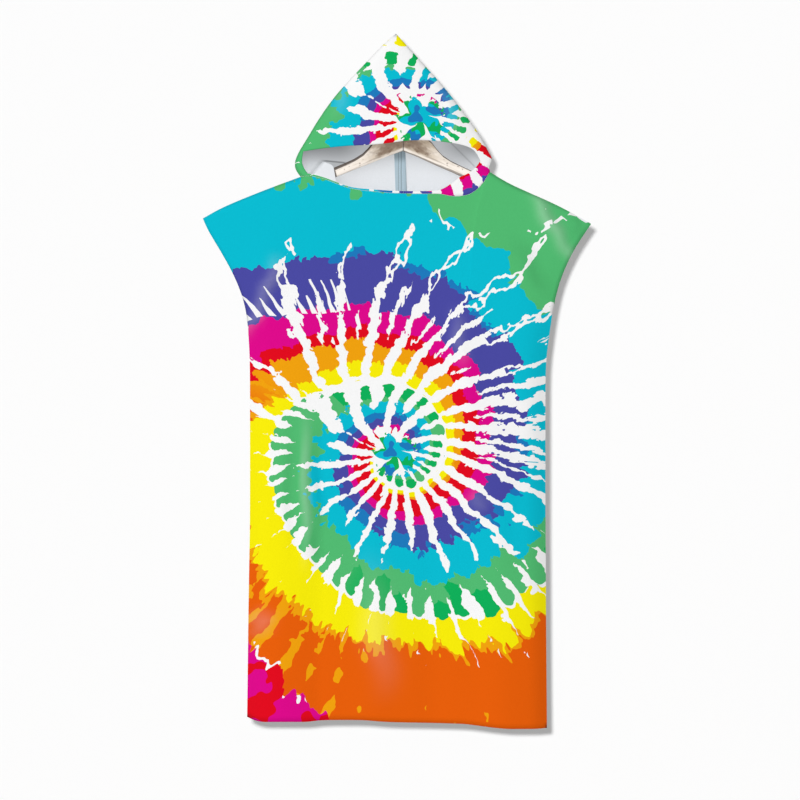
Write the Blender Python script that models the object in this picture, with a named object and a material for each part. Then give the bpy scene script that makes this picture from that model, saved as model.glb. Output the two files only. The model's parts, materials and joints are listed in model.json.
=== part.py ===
"""Hooded towel poncho hanging on a wooden hanger. Metres, +Z up, the front faces -Y.

The origin is the inside of the crown of the hanger's hook, where a rail carries the whole thing.
Each cloth piece is a sheet of points on the cloth's inner side, thickened outwards to a wall.
"""

import math
from collections import namedtuple

import bpy
import numpy as np

# ---- driving dimensions, in metres ----
CLOTH = 0.0022  # towelling, nap included
GAP = 0.0003  # between pieces that meet at a seam
FRONT = -1
BACK = 1

# Body: the outline seen from the front
SHOULDER_INSET = 1.1 * CLOTH  # the wall's height along the sloping shoulder seam
ARMPIT_Z = -0.440  # the armhole runs from the sleeve's tip down to here
ARMHOLE_SLACK = 0.0060  # half the armhole's opening at its middle
SHOULDER_STEPS = 6
ROLL = 0.007  # height over which the cloth turns down over the hanger's arm
SWELL_REACH = 0.12  # distance over which the body fills out below the shoulders
SIDE_ROLL = 0.09  # width over which the cloth turns in to a side seam
NECK_EASE = 0.06  # distance over which the gape of the neck dies out
NECK_EDGE = 0.015  # width over which the wall squares up to the neck seam
CORNER_EASE = 0.003  # the same beside the shoulders, where the neck closes on the hanger

# Hood
HOOD_ROUND = 2.5  # exponent of the hood's flattened section: 2 is an ellipse
HOOD_TIP_X = -0.0146
HOOD_TIP_Z = 0.1295
HOOD_CAP_Z = 0.1070  # the last whole ring under the tip
HOOD_WALL_SIDE = 1.27 * CLOTH  # the wall's width along the sloping side folds
HOOD_WALL_TIP = 1.8 * CLOTH  # the wall's height at the tip, where the folds close in
CORNER_Z = -0.1020  # level of the ring through the two corners of the face opening
LEFT_DROOP = 0.0085  # how far the hood's sides hang out past the neck
RIGHT_DROOP = 0.0030
DROOP_FADE = 8  # exponents: how soon the side folds and the rims die out round the hood
LEFT_RIM_FADE = 8
RIGHT_RIM_FADE = 5
NECK_SEAM = 0.00045  # hood edge above the body's neckline

# Seam tape inside the hood
TAPE_WIDTH = 0.022
TAPE_THICKNESS = 0.0008
TAPE_TOP_Z = 0.085
TAPE_SEAT = 0.0004  # its distance from the cloth, which curves a little more than the tape

# Hanger
HANGER_TILT = math.radians(1.12)
HANGER_HALF_THICKNESS = 0.006
HANGER_SIDES = 12
HANGER_ROUND = 0.6  # exponent of an arm's rounded section: 1 is an ellipse
WIRE_RADIUS = 0.00175
HOOK_INNER_RADIUS = 0.020
HOOK_START = math.radians(-48)
HOOK_END = math.radians(205)
HOOK_STEPS = 22
STEM_BEND = 1.45  # where the stem turns aside, in hook radii below the hook's centre
STEM_HOLE_RADIUS = 0.0022
STEM_DEPTH = 0.012

Point = namedtuple("Point", "x z")
Side = namedtuple("Side", "z left right")
Neck = namedtuple("Neck", "x z depth")
Lip = namedtuple("Lip", "x height")
Rim = namedtuple("Rim", "share x depth z")
Ring = namedtuple("Ring", "z left right front back")
Arm = namedtuple("Arm", "x top bottom half")
Fold = namedtuple("Fold", "x z end_x end_z width rise tail")
Ridge = namedtuple("Ridge", "distance half")

SHOULDER_LEFT = (
    Point(-0.3929, -0.2320),
    Point(-0.3637, -0.2145),
    Point(-0.3188, -0.1950),
    Point(-0.2701, -0.1755),
    Point(-0.2174, -0.1560),
    Point(-0.2009, -0.1498),
)
SHOULDER_RIGHT = (
    Point(0.1687, -0.1404),
    Point(0.1920, -0.1560),
    Point(0.2330, -0.1755),
    Point(0.2779, -0.1950),
    Point(0.3188, -0.2145),
    Point(0.3520, -0.2340),
    Point(0.3686, -0.2428),
)
SIDES = (
    Side(-0.2320, -0.3929, 0.3752),
    Side(-0.2535, -0.3832, 0.3598),
    Side(-0.2925, -0.3598, 0.3344),
    Side(-0.3315, -0.3374, 0.3149),
    Side(-0.3705, -0.3198, 0.3013),
    Side(-0.4095, -0.3081, 0.2933),
    Side(-0.4680, -0.3013, 0.2828),
    Side(-0.5265, -0.2993, 0.2769),
    Side(-0.7800, -0.2993, 0.2769),
    Side(-0.9750, -0.3020, 0.2779),
    Side(-1.2300, -0.3052, 0.2798),
)
HEM = (
    Point(-0.3052, -1.1990),
    Point(-0.2980, -1.2085),
    Point(-0.2880, -1.2129),
    Point(-0.1780, -1.2129),
    Point(-0.1630, -1.2090),
    Point(-0.0850, -1.2090),
    Point(-0.0350, -1.2129),
    Point(0.0600, -1.2149),
    Point(0.1200, -1.2168),
    Point(0.1490, -1.2207),
    Point(0.1800, -1.2246),
    Point(0.2000, -1.2266),
    Point(0.2700, -1.2266),
    Point(0.2798, -1.2235),
)
ROW_SHARES = (
    (0.0, 0.0015, 0.004, 0.0075, 0.013, 0.024, 0.042)
    + tuple(0.068 + 0.036 * k for k in range(4))
    + tuple(0.216 + 0.049 * k for k in range(16))
    + (1.0,)
)
RIDGES = (Ridge(0.0, 0.0072), Ridge(0.225, 0.0072), Ridge(0.32, 0.0045), Ridge(0.40, 0.0035))

NECK_FRONT = (
    Neck(-0.2009, -0.1498, 0.0),
    Neck(-0.1940, -0.1485, 0.0049),
    Neck(-0.1862, -0.1474, 0.0070),
    Neck(-0.1600, -0.1515, 0.0080),
    Neck(-0.1303, -0.1632, 0.0095),
    Neck(-0.1024, -0.1743, 0.0108),
    Neck(-0.0653, -0.1775, 0.0120),
    Neck(-0.0320, -0.1812, 0.0126),
    Neck(0.0000, -0.1824, 0.0130),
    Neck(0.0300, -0.1830, 0.0130),
    Neck(0.0580, -0.1831, 0.0126),
    Neck(0.0751, -0.1827, 0.0122),
    Neck(0.0915, -0.1889, 0.0116),
    Neck(0.1254, -0.1872, 0.0104),
    Neck(0.1433, -0.1755, 0.0090),
    Neck(0.1570, -0.1605, 0.0076),
    Neck(0.1630, -0.1490, 0.0066),
    Neck(0.1660, -0.1440, 0.0048),
    Neck(0.1687, -0.1404, 0.0),
)
NECK_BACK = (
    Neck(-0.2009, -0.1498, 0.0),
    Neck(-0.1940, -0.1510, 0.0049),
    Neck(-0.1840, -0.1540, 0.0070),
    Neck(-0.1550, -0.1630, 0.0085),
    Neck(-0.1150, -0.1750, 0.0100),
    Neck(-0.0750, -0.1835, 0.0112),
    Neck(-0.0350, -0.1875, 0.0120),
    Neck(-0.0040, -0.1885, 0.0122),
    Neck(0.0300, -0.1875, 0.0120),
    Neck(0.0700, -0.1830, 0.0112),
    Neck(0.1050, -0.1760, 0.0100),
    Neck(0.1350, -0.1670, 0.0088),
    Neck(0.1560, -0.1570, 0.0074),
    Neck(0.1640, -0.1480, 0.0054),
    Neck(0.1687, -0.1404, 0.0),
)
BACK_SEAM = 7  # the row of NECK_BACK at the hood's centre-back seam
LEFT_CORNER = 2  # the rows of NECK_FRONT where the face opening's rims come down
RIGHT_CORNER = 12

# Folds run from (x, z) to (end_x, end_z); tail is the share of the rise left at the end
FRONT_FOLDS = (
    Fold(0.2560, -0.180, 0.340, -0.345, 0.018, 0.0050, 0.0),
    Fold(0.2900, -0.190, 0.352, -0.270, 0.014, -0.0025, 0.0),
    Fold(0.2100, -0.230, 0.290, -0.420, 0.022, -0.0040, 0.0),
    Fold(-0.2480, -0.270, -0.298, -0.450, 0.017, 0.0045, 0.0),
    Fold(-0.2150, -0.250, -0.262, -0.440, 0.020, -0.0035, 0.0),
    Fold(-0.1900, -0.600, -0.194, -0.900, 0.012, 0.0050, 0.0),
    Fold(-0.1620, -0.640, -0.168, -1.230, 0.018, -0.0045, 1.0),
    Fold(0.1100, -0.340, 0.142, -0.820, 0.030, 0.0045, 0.0),
    Fold(-0.0500, -0.620, -0.062, -1.230, 0.040, 0.0050, 1.0),
    Fold(0.0500, -0.700, 0.058, -1.230, 0.030, -0.0040, 1.0),
    Fold(0.1750, -0.760, 0.186, -1.230, 0.036, 0.0045, 1.0),
    Fold(-0.2450, -0.860, -0.252, -1.230, 0.026, 0.0040, 1.0),
)
BACK_FOLDS = (
    Fold(-0.2600, -0.185, -0.335, -0.350, 0.018, 0.0045, 0.0),
    Fold(0.2300, -0.210, 0.300, -0.400, 0.020, 0.0045, 0.0),
    Fold(0.1450, -0.380, 0.160, -1.230, 0.026, 0.0050, 1.0),
    Fold(-0.1250, -0.420, -0.140, -1.230, 0.030, 0.0045, 1.0),
    Fold(0.0200, -0.560, 0.012, -1.230, 0.034, -0.0040, 1.0),
    Fold(-0.2100, -0.700, -0.222, -1.230, 0.024, -0.0035, 1.0),
    Fold(0.2150, -0.820, 0.222, -1.230, 0.022, -0.0035, 1.0),
)
FRONT_SWELL = 0.0130
BACK_SWELL = 0.0115

# The hood's cross-sections: its outline left and right, and half-depths to the inner side
HOOD_RINGS = (
    Ring(0.1092, -0.0390, 0.0039, 0.0060, 0.0060),
    Ring(0.0891, -0.0581, 0.0218, 0.0085, 0.0080),
    Ring(0.0688, -0.0770, 0.0398, 0.0105, 0.0100),
    Ring(0.0390, -0.1063, 0.0673, 0.0130, 0.0120),
    Ring(0.0000, -0.1394, 0.0995, 0.0150, 0.0135),
    Ring(-0.0390, -0.1667, 0.1285, 0.0165, 0.0145),
    Ring(-0.0780, -0.1901, 0.1550, 0.0170, 0.0145),
    Ring(-0.1020, -0.2050, 0.1665, 0.0170, 0.0140),
)
HOOD_ROW_SHARES = (0.0, 0.07, 0.16, 0.27, 0.39, 0.51, 0.63, 0.75, 0.87, 1.0)
FACE_ARCH = (
    Point(0.1439, -0.1022),
    Point(0.1316, -0.0928),
    Point(0.1063, -0.0850),
    Point(0.0692, -0.0803),
    Point(0.0380, -0.0778),
    Point(0.0041, -0.0788),
    Point(-0.0244, -0.0835),
    Point(-0.0614, -0.0876),
    Point(-0.1000, -0.0885),
    Point(-0.1350, -0.0918),
    Point(-0.1650, -0.0952),
    Point(-0.1952, -0.1004),
)
RIM_LEFT = (
    Rim(0.20, -0.1868, 0.0069, -0.1430),
    Rim(0.40, -0.1900, 0.0066, -0.1385),
    Rim(0.55, -0.1932, 0.0064, -0.1335),
    Rim(0.70, -0.1965, 0.0060, -0.1265),
    Rim(0.85, -0.1985, 0.0060, -0.1180),
)
RIM_RIGHT = (
    Rim(0.20, 0.0922, 0.0112, -0.1640),
    Rim(0.40, 0.1094, 0.0104, -0.1488),
    Rim(0.55, 0.1258, 0.0098, -0.1449),
    Rim(0.70, 0.1433, 0.0090, -0.1299),
    Rim(0.85, 0.1496, 0.0088, -0.1180),
)
CORNER_SPREAD_LEFT = (-0.963, -0.985)
CORNER_SPREAD_RIGHT = (0.997, 0.985, 0.967, 0.943, 0.914, 0.880)
LIPS_LEFT = (
    Lip(-0.1600, 0.0026),
    Lip(-0.1303, 0.0022),
    Lip(-0.1024, 0.0024),
    Lip(-0.0653, 0.0034),
    Lip(-0.0320, 0.0040),
    Lip(0.0000, 0.0044),
)
LIPS_RIGHT = (
    Lip(0.0751, 0.0072),
    Lip(0.0580, 0.0052),
    Lip(0.0300, 0.0048),
    Lip(0.0000, 0.0044),
)

# One arm of the hanger, mirrored for the other: its upper and lower edge, before the tilt
HANGER_ARM = (
    Arm(0.00015, -0.0660, -0.1000, 1.0),
    Arm(0.0300, -0.0675, -0.1114, 1.0),
    Arm(0.0460, -0.0722, -0.1184, 1.0),
    Arm(0.0570, -0.0815, -0.1232, 1.0),
    Arm(0.0670, -0.0945, -0.1274, 1.0),
    Arm(0.0780, -0.1060, -0.1318, 1.0),
    Arm(0.0940, -0.1165, -0.1382, 1.0),
    Arm(0.1150, -0.1263, -0.1472, 1.0),
    Arm(0.1350, -0.1352, -0.1557, 1.0),
    Arm(0.1620, -0.1445, -0.1652, 1.0),
    Arm(0.1920, -0.1553, -0.1753, 1.0),
    Arm(0.2120, -0.1639, -0.1826, 1.0),
    Arm(0.2195, -0.1673, -0.1826, 0.85),
    Arm(0.2220, -0.1706, -0.1788, 0.60),
)

COLOURS = {
    "print": (0.02, 0.53, 0.66, 1.0),
    "tape": (0.33, 0.42, 0.50, 1.0),
    "wood": (0.62, 0.50, 0.38, 1.0),
    "steel": (0.60, 0.60, 0.62, 1.0),
}


# ---- curves and small helpers ----
def curve(keys, values, at):
    """A smooth curve through a short table, which never overshoots the table's values."""
    keys = np.asarray(keys, float)
    values = np.asarray(values, float)
    if keys[0] > keys[-1]:
        keys = keys[::-1]
        values = values[::-1]
    step = np.diff(keys)
    slope = np.diff(values) / step
    product = slope[:-1] * slope[1:]
    total = slope[:-1] + slope[1:]
    tangent = np.empty_like(values)
    tangent[1:-1] = np.where(product > 0, 2 * product / np.where(total == 0, 1, total), 0)
    tangent[0] = slope[0]
    tangent[-1] = slope[-1]
    at = np.clip(np.asarray(at, float), keys[0], keys[-1])
    i = np.clip(np.searchsorted(keys, at) - 1, 0, len(step) - 1)
    t = (at - keys[i]) / step[i]
    rise = values[i + 1] - values[i]
    bend_in = step[i] * tangent[i] * t * (1 - t) ** 2
    bend_out = step[i] * tangent[i + 1] * t**2 * (1 - t)
    return values[i] + rise * t**2 * (3 - 2 * t) + bend_in - bend_out


def table(rows, key, value, at):
    """The named column of a table, read smoothly at a value of its key column."""
    return curve([getattr(row, key) for row in rows], [getattr(row, value) for row in rows], at)


def roll(share):
    """A quarter turn: 0 at the edge, steep at first, 1 and level from a share of 1 on."""
    rest = 1 - np.clip(share, 0, 1)
    return np.sqrt(1 - rest**2)


def make_material(name, roughness, metallic=0.0):
    material = bpy.data.materials.new(name)
    material.use_nodes = True
    shader = material.node_tree.nodes["Principled BSDF"]
    shader.inputs["Base Color"].default_value = COLOURS[name]
    shader.inputs["Roughness"].default_value = roughness
    shader.inputs["Metallic"].default_value = metallic
    return material


def add_mesh(name, points, faces, material):
    mesh = bpy.data.meshes.new(name)
    mesh.from_pydata([tuple(map(float, p)) for p in points], [], faces)
    mesh.materials.append(material)
    mesh.shade_smooth()
    mesh.set_sharp_from_angle(angle=math.radians(40))
    piece = bpy.data.objects.new(name, mesh)
    bpy.context.scene.collection.objects.link(piece)
    return piece


# ---- cloth walls ----
def sheet_normals(points, faces):
    """Unit normals of a sheet's points, averaged over the faces that meet there."""
    normals = np.zeros_like(points)
    for face in faces:
        corners = points[list(face)]
        normal = np.cross(corners[2] - corners[0], corners[-1] - corners[1])
        for index in face:
            normals[index] += normal
    return normals / np.linalg.norm(normals, axis=1, keepdims=True)


def add_wall(name, inner, offsets, faces, material):
    """A closed wall from a sheet: its outer side, its inner side, and a strip along each free edge."""
    points = np.vstack([inner + offsets, inner])
    count = len(inner)
    edges = {pair for face in faces for pair in zip(face, face[1:] + face[:1])}
    free = [(a, b) for a, b in sorted(edges) if (b, a) not in edges]
    inner_faces = [tuple(count + i for i in reversed(face)) for face in faces]
    strips = [(b, a, count + a, count + b) for a, b in free]
    return add_mesh(name, points, list(faces) + inner_faces + strips, material)


# ---- front and back panels ----
def fold_height(folds, x, z):
    """How far the folds lift the cloth off its plain form."""
    height = np.zeros_like(x)
    for fold in folds:
        along = np.clip((fold.z - z) / (fold.z - fold.end_z), 0, 1)
        centre = fold.x + (fold.end_x - fold.x) * along
        rising = np.sin(math.pi * along * (1 - 0.5 * fold.tail))
        height += fold.rise * rising * np.exp(-(((x - centre) / fold.width) ** 2))
    return height


def panel_top(neckline):
    """The panel's upper edge from sleeve tip to sleeve tip: x, z, depth, and whether it is on a seam."""
    left_x = table(SIDES, "z", "left", SHOULDER_LEFT[0].z) + CLOTH
    right_x = table(SIDES, "z", "right", SHOULDER_RIGHT[-1].z) - CLOTH
    x_left = np.linspace(left_x, neckline[0].x, SHOULDER_STEPS + 1)
    x_right = np.linspace(neckline[-1].x, right_x, SHOULDER_STEPS + 1)
    z_left = table(SHOULDER_LEFT, "x", "z", x_left) - SHOULDER_INSET
    z_right = table(SHOULDER_RIGHT, "x", "z", x_right) - SHOULDER_INSET
    inside = neckline[1:-1]
    x = np.concatenate([x_left, [row.x for row in inside], x_right])
    z = np.concatenate([z_left, [row.z for row in inside], z_right])
    no_depth = np.zeros(SHOULDER_STEPS + 1)
    depth = np.concatenate([no_depth, [row.depth for row in inside], no_depth])
    on_seam = np.ones(len(x), bool)
    on_seam[SHOULDER_STEPS + 1 : -SHOULDER_STEPS - 1] = False
    return x, z, depth, on_seam


def panel_outline(neckline):
    """The panel's points in the front plane: a grid blended between its four edges."""
    top_x, top_z, top_depth, on_seam = panel_top(neckline)
    v = np.array(ROW_SHARES)[:, None]
    u = np.linspace(0, 1, len(top_x))[None, :]
    hem_ends = (table(SIDES, "z", "left", HEM[0].z), table(SIDES, "z", "right", HEM[-1].z))
    hem_x = np.linspace(hem_ends[0] + CLOTH, hem_ends[1] - CLOTH, len(top_x))
    hem_z = table(HEM, "x", "z", hem_x)
    left_z = top_z[0] + (hem_z[0] - top_z[0]) * v
    right_z = top_z[-1] + (hem_z[-1] - top_z[-1]) * v
    left_x = table(SIDES, "z", "left", left_z) + CLOTH
    right_x = table(SIDES, "z", "right", right_z) - CLOTH
    left_x[0] = top_x[0]
    right_x[0] = top_x[-1]

    def blend(top, hem, left, right):
        across = (1 - u) * left + u * right
        down = (1 - v) * top[None, :] + v * hem[None, :]
        corners_top = (1 - u) * top[0] + u * top[-1]
        corners_hem = (1 - u) * hem[0] + u * hem[-1]
        return across + down - (1 - v) * corners_top - v * corners_hem

    x = blend(top_x, hem_x, left_x, right_x)
    z = blend(top_z, hem_z, left_z, right_z)
    return x, z, top_depth, on_seam


def panel_depth(x, z, top_depth, on_seam, swell, folds):
    """Distance of the cloth's inner side from the plane through the seams."""
    drop = z[:1] - z
    half = table(RIDGES, "distance", "half", np.abs(x))
    over_arm = half * roll(drop / ROLL)
    filled = half + swell * (1 - np.exp(-drop / SWELL_REACH))
    filled += fold_height(folds, x, z)
    ease = np.where(top_depth < half[0], CORNER_EASE, NECK_EASE)
    neck = filled + (top_depth - half[:1]) * np.exp(-drop / ease)
    full = np.where(on_seam[None, :], filled - half + over_arm, neck)
    edge = np.minimum(x - table(SIDES, "z", "left", z) - CLOTH, table(SIDES, "z", "right", z) - CLOTH - x)
    armhole = np.clip((SHOULDER_LEFT[0].z - z) / (SHOULDER_LEFT[0].z - ARMPIT_Z), 0, 1)
    slack = ARMHOLE_SLACK * np.sin(math.pi * armhole)
    return GAP / 2 + slack + np.maximum(full - slack, 0) * roll(edge / SIDE_ROLL)


def add_panel(name, side, neckline, swell, folds, material):
    x, z, top_depth, on_seam = panel_outline(neckline)
    depth = panel_depth(x, z, top_depth, on_seam, swell, folds)
    rows, columns = x.shape
    inner = np.stack([x, side * depth, z], axis=-1).reshape(-1, 3)
    index = np.arange(rows * columns).reshape(rows, columns)
    faces = []
    for i in range(rows - 1):
        for j in range(columns - 1):
            quad = (index[i, j], index[i + 1, j], index[i + 1, j + 1], index[i, j + 1])
            faces.append(tuple(int(k) for k in (quad if side == FRONT else quad[::-1])))
    normals = sheet_normals(inner, faces).reshape(rows, columns, 3)
    near_neck = np.where(on_seam, 0, np.clip(1 - (z[:1] - z) / NECK_EDGE, 0, 1))[:, :, None]
    normals = normals * (1 - near_neck) + np.array([0, side, 0]) * near_neck
    offsets = CLOTH * normals / np.linalg.norm(normals, axis=2, keepdims=True)
    offsets[-1, :, 2] = 0
    offsets[0, on_seam] = (0, 0, SHOULDER_INSET)
    sewn = z[:, 0] < ARMPIT_Z
    offsets[sewn, 0] = (-CLOTH, 0, 0)
    offsets[sewn, -1] = (CLOTH, 0, 0)
    return add_wall(name, inner, offsets.reshape(-1, 3), faces, material)


# ---- hood ----
class Sheet:
    """Points and faces gathered by key, so that the patches of one cloth piece share their edges."""

    def __init__(self):
        self.keys = {}
        self.points = []
        self.offsets = {}
        self.faces = []

    def point(self, key, place, offset=None):
        if key not in self.keys:
            self.keys[key] = len(self.points)
            self.points.append(place)
            if offset is not None:
                self.offsets[self.keys[key]] = offset
        return self.keys[key]

    def grid(self, keys):
        """Faces over rows of keys, listed from the lower edge up, left to right seen from outside."""
        for lower, upper in zip(keys, keys[1:]):
            for k in range(len(lower) - 1):
                quad = (lower[k], lower[k + 1], upper[k + 1], upper[k])
                face = []
                for key in quad:
                    if self.keys[key] not in face:
                        face.append(self.keys[key])
                if len(face) > 2:
                    self.faces.append(tuple(face))


def hood_point(across, side, z):
    """A point on the hood's inner side: across is -1 at the left fold and 1 at the right fold."""
    left = table(HOOD_RINGS, "z", "left", z) + HOOD_WALL_SIDE
    right = table(HOOD_RINGS, "z", "right", z) - HOOD_WALL_SIDE
    depth = table(HOOD_RINGS, "z", "front" if side == FRONT else "back", z)
    x = (left + right) / 2 + (right - left) / 2 * across
    bulge = (1 - min(abs(across), 1) ** HOOD_ROUND) ** (1 / HOOD_ROUND)
    return np.array([x, side * depth * bulge, z])


def hood_across(x, z):
    """Where x lies between the hood's side folds at a level, from -1 to 1."""
    left = table(HOOD_RINGS, "z", "left", z) + HOOD_WALL_SIDE
    right = table(HOOD_RINGS, "z", "right", z) - HOOD_WALL_SIDE
    return float((2 * x - left - right) / (right - left))


def neck_edge(row, side):
    """The hood's edge just inside the body's neckline, and the way its wall faces there."""
    if row.depth == 0:
        outwards = -1 if row.x < 0 else 1
        place = (row.x - outwards * CLOTH, 0, row.z + NECK_SEAM)
        return np.array(place), np.array([outwards * CLOTH, 0, 0])
    neckline = NECK_FRONT if side == FRONT else NECK_BACK
    k = neckline.index(row)
    run = neckline[k + 1].x - neckline[k - 1].x
    climb = neckline[k + 1].z - neckline[k - 1].z
    shift = NECK_SEAM / math.hypot(run, climb)
    depth = GAP / 2 + row.depth
    place = (row.x - climb * shift, side * depth, row.z + run * shift)
    return np.array(place), np.array([0, side * CLOTH, 0])


def collar_columns():
    """The hood's columns round the sides and back: (key, neck row, side, share across at the top)."""
    columns = []
    for row, across in zip(NECK_FRONT[LEFT_CORNER:0:-1], CORNER_SPREAD_LEFT):
        columns.append((row, FRONT, across))
    span = NECK_BACK[-1].x - NECK_BACK[0].x
    for row in NECK_BACK:
        columns.append((row, BACK, 2 * (row.x - NECK_BACK[0].x) / span - 1))
    for row, across in zip(NECK_FRONT[-2 : RIGHT_CORNER - 1 : -1], CORNER_SPREAD_RIGHT):
        columns.append((row, FRONT, across))
    return columns


def slit_keys(key):
    """The centre-back column stands twice, for the two edges of the seam."""
    return (key + ("left",), key + ("right",))


def add_hood(material):
    sheet = Sheet()
    columns = collar_columns()
    last_column = len(columns) - 1
    seam_column = LEFT_CORNER + BACK_SEAM
    half_slit = np.array([GAP / 2, 0, 0])
    levels = (0.0,) + tuple(rim.share for rim in RIM_LEFT) + (1.0,)

    bottom = [neck_edge(row, side) for row, side, _ in columns]
    top = [hood_point(across, side, CORNER_Z) for _, side, across in columns]
    top[0][2] = FACE_ARCH[-1].z
    top[-1][2] = FACE_ARCH[0].z
    left_rim = [bottom[0][0]] + [np.array([r.x, -r.depth, r.z]) for r in RIM_LEFT] + [top[0]]
    right_rim = [bottom[-1][0]] + [np.array([r.x, -r.depth, r.z]) for r in RIM_RIGHT] + [top[-1]]

    def collar_place(j, level):
        share = levels[level]
        across = columns[j][2]
        u = j / last_column
        place = (1 - share) * bottom[j][0] + share * top[j]
        left_bend = left_rim[level] - (1 - share) * left_rim[0] - share * left_rim[-1]
        right_bend = right_rim[level] - (1 - share) * right_rim[0] - share * right_rim[-1]
        place += (1 - u) ** LEFT_RIM_FADE * left_bend + u**RIGHT_RIM_FADE * right_bend
        if 0 < j < last_column:
            droop = math.sin(math.pi * share) * abs(across) ** DROOP_FADE
            place[0] += droop * (RIGHT_DROOP if across > 0 else -LEFT_DROOP)
        return place

    # Collar: from the neck seam up to the corners of the face opening
    collar = []
    for level in range(len(levels)):
        keys = []
        for j in range(len(columns)):
            place = collar_place(j, level)
            offset = bottom[j][1] if level == 0 else None
            key = ("collar", level, j)
            if j == seam_column:
                left, right = slit_keys(key)
                sheet.point(left, place - half_slit, offset)
                sheet.point(right, place + half_slit, offset)
                keys += [left, right]
            else:
                sheet.point(key, place, offset)
                keys.append(key)
        collar.append(keys)
    cut = collar[0].index(("collar", 0, seam_column, "right"))
    sheet.grid([row[:cut][::-1] for row in collar])
    sheet.grid([row[cut:][::-1] for row in collar])

    # Crown: from the corner ring and the arch of the face opening up to the tip
    arch = FACE_ARCH[1:-1]
    crown = [collar[-1] + [("arch", 0, k) for k in range(len(arch))] + [collar[-1][0]]]
    for k, point in enumerate(arch):
        sheet.point(("arch", 0, k), hood_point(hood_across(point.x, point.z), FRONT, point.z))
    for i, share in enumerate(HOOD_ROW_SHARES[1:], start=1):
        keys = []
        last = i == len(HOOD_ROW_SHARES) - 1
        for j, (_, side, across) in enumerate(columns):
            start = top[j][2]
            place = hood_point(across, side, start + (HOOD_CAP_Z - start) * share)
            key = ("crown", i, j)
            if j == seam_column and not last:
                left, right = slit_keys(key)
                sheet.point(left, place - half_slit)
                sheet.point(right, place + half_slit)
                keys += [left, right]
            elif j == seam_column:
                sheet.point(key, place)
                keys += [key, key]
            else:
                sheet.point(key, place)
                keys.append(key)
        for k, point in enumerate(arch):
            z = point.z + (HOOD_CAP_Z - point.z) * share
            across = hood_across(point.x, point.z)
            keys.append(("arch", i, k))
            sheet.point(keys[-1], hood_point(across, FRONT, z))
        crown.append(keys + [keys[0]])
    sheet.grid([row[:cut][::-1] for row in crown])
    sheet.grid([row[cut:][::-1] for row in crown])
    tip = np.array([HOOD_TIP_X, 0, HOOD_TIP_Z - HOOD_WALL_TIP])
    apex = sheet.point("tip", tip, np.array([0, 0, HOOD_WALL_TIP]))
    ring = [sheet.keys[key] for key in crown[-1]]
    for a, b in zip(ring[1:], ring):
        if a != b:
            sheet.faces.append((a, b, apex))

    # Lips: the hood's lower ends, along the front neckline to the centre front
    rows = {row.x: row for row in NECK_FRONT}
    for lips, outwards in ((LIPS_LEFT, -1), (LIPS_RIGHT, 1)):
        corner = 0 if outwards < 0 else last_column
        low = [("collar", 0, corner)]
        high = [("collar", 1, corner)]
        for lip in lips:
            place, offset = neck_edge(rows[lip.x], FRONT)
            if lip is lips[-1]:
                place += outwards * half_slit
            low.append(("lip low", outwards, lip.x))
            high.append(("lip high", outwards, lip.x))
            sheet.point(low[-1], place, offset)
            sheet.point(high[-1], place + np.array([0, 0, lip.height]))
        sheet.grid([low, high] if outwards < 0 else [low[::-1], high[::-1]])

    points = np.array(sheet.points)
    offsets = CLOTH * sheet_normals(points, sheet.faces)
    for index, offset in sheet.offsets.items():
        offsets[index] = offset
    add_wall("hood", points, offsets, sheet.faces, material)
    return sheet, seam_column


def add_tape(sheet, seam_column, material):
    """The tape lies on the hood's inner side, over the centre-back seam, and is made from its points."""
    rows = []
    kinds = [("collar", level) for level in range(len(RIM_LEFT) + 2)]
    kinds += [("crown", i) for i in range(1, len(HOOD_ROW_SHARES) - 1)]
    for kind, i in kinds:
        left, right = (np.array(sheet.points[sheet.keys[k]]) for k in slit_keys((kind, i, seam_column)))
        seam = (left + right) / 2
        if seam[2] > TAPE_TOP_Z:
            break
        row = []
        for j in (seam_column - 1, seam_column + 1):
            beside = np.array(sheet.points[sheet.keys[(kind, i, j)]])
            row.append(seam + (beside - seam) * (TAPE_WIDTH / 2) / np.linalg.norm(beside - seam))
        rows.append([row[0], seam, row[1]])
    grid = np.array(rows)
    columns = grid.shape[1]
    inner = grid.reshape(-1, 3) - np.array([0, TAPE_SEAT + TAPE_THICKNESS, 0])
    offsets = np.tile([0, TAPE_THICKNESS, 0], (len(inner), 1))
    faces = []
    for i in range(len(grid) - 1):
        for j in range(columns - 1):
            k = i * columns + j
            faces.append((k, k + columns, k + columns + 1, k + 1))
    return add_wall("hood_seam_tape", inner, offsets, faces, material)


# ---- hanger ----
def add_hanger_arm(name, mirror, material):
    """A wooden arm: a row of rounded sections, from the middle of the hanger out to its end."""
    angles = [2 * math.pi * (k + 0.5) / HANGER_SIDES for k in range(HANGER_SIDES)]
    points = []
    for row in HANGER_ARM:
        middle = (row.top + row.bottom) / 2
        height = (row.top - row.bottom) / 2
        for angle in angles:
            across = math.copysign(abs(math.cos(angle)) ** HANGER_ROUND, math.cos(angle))
            up = math.copysign(abs(math.sin(angle)) ** HANGER_ROUND, math.sin(angle))
            y = HANGER_HALF_THICKNESS * row.half * across
            points.append((mirror * row.x, y, middle + height * up))
    faces = []
    sides = HANGER_SIDES
    for i in range(len(HANGER_ARM) - 1):
        for k in range(sides):
            a = i * sides + k
            b = i * sides + (k + 1) % sides
            faces.append((a, b, b + sides, a + sides))
    faces.append(tuple(range(sides))[::-1])
    faces.append(tuple(range(len(points) - sides, len(points))))
    if mirror < 0:
        faces = [face[::-1] for face in faces]
    return add_mesh(name, points, faces, material)


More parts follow.
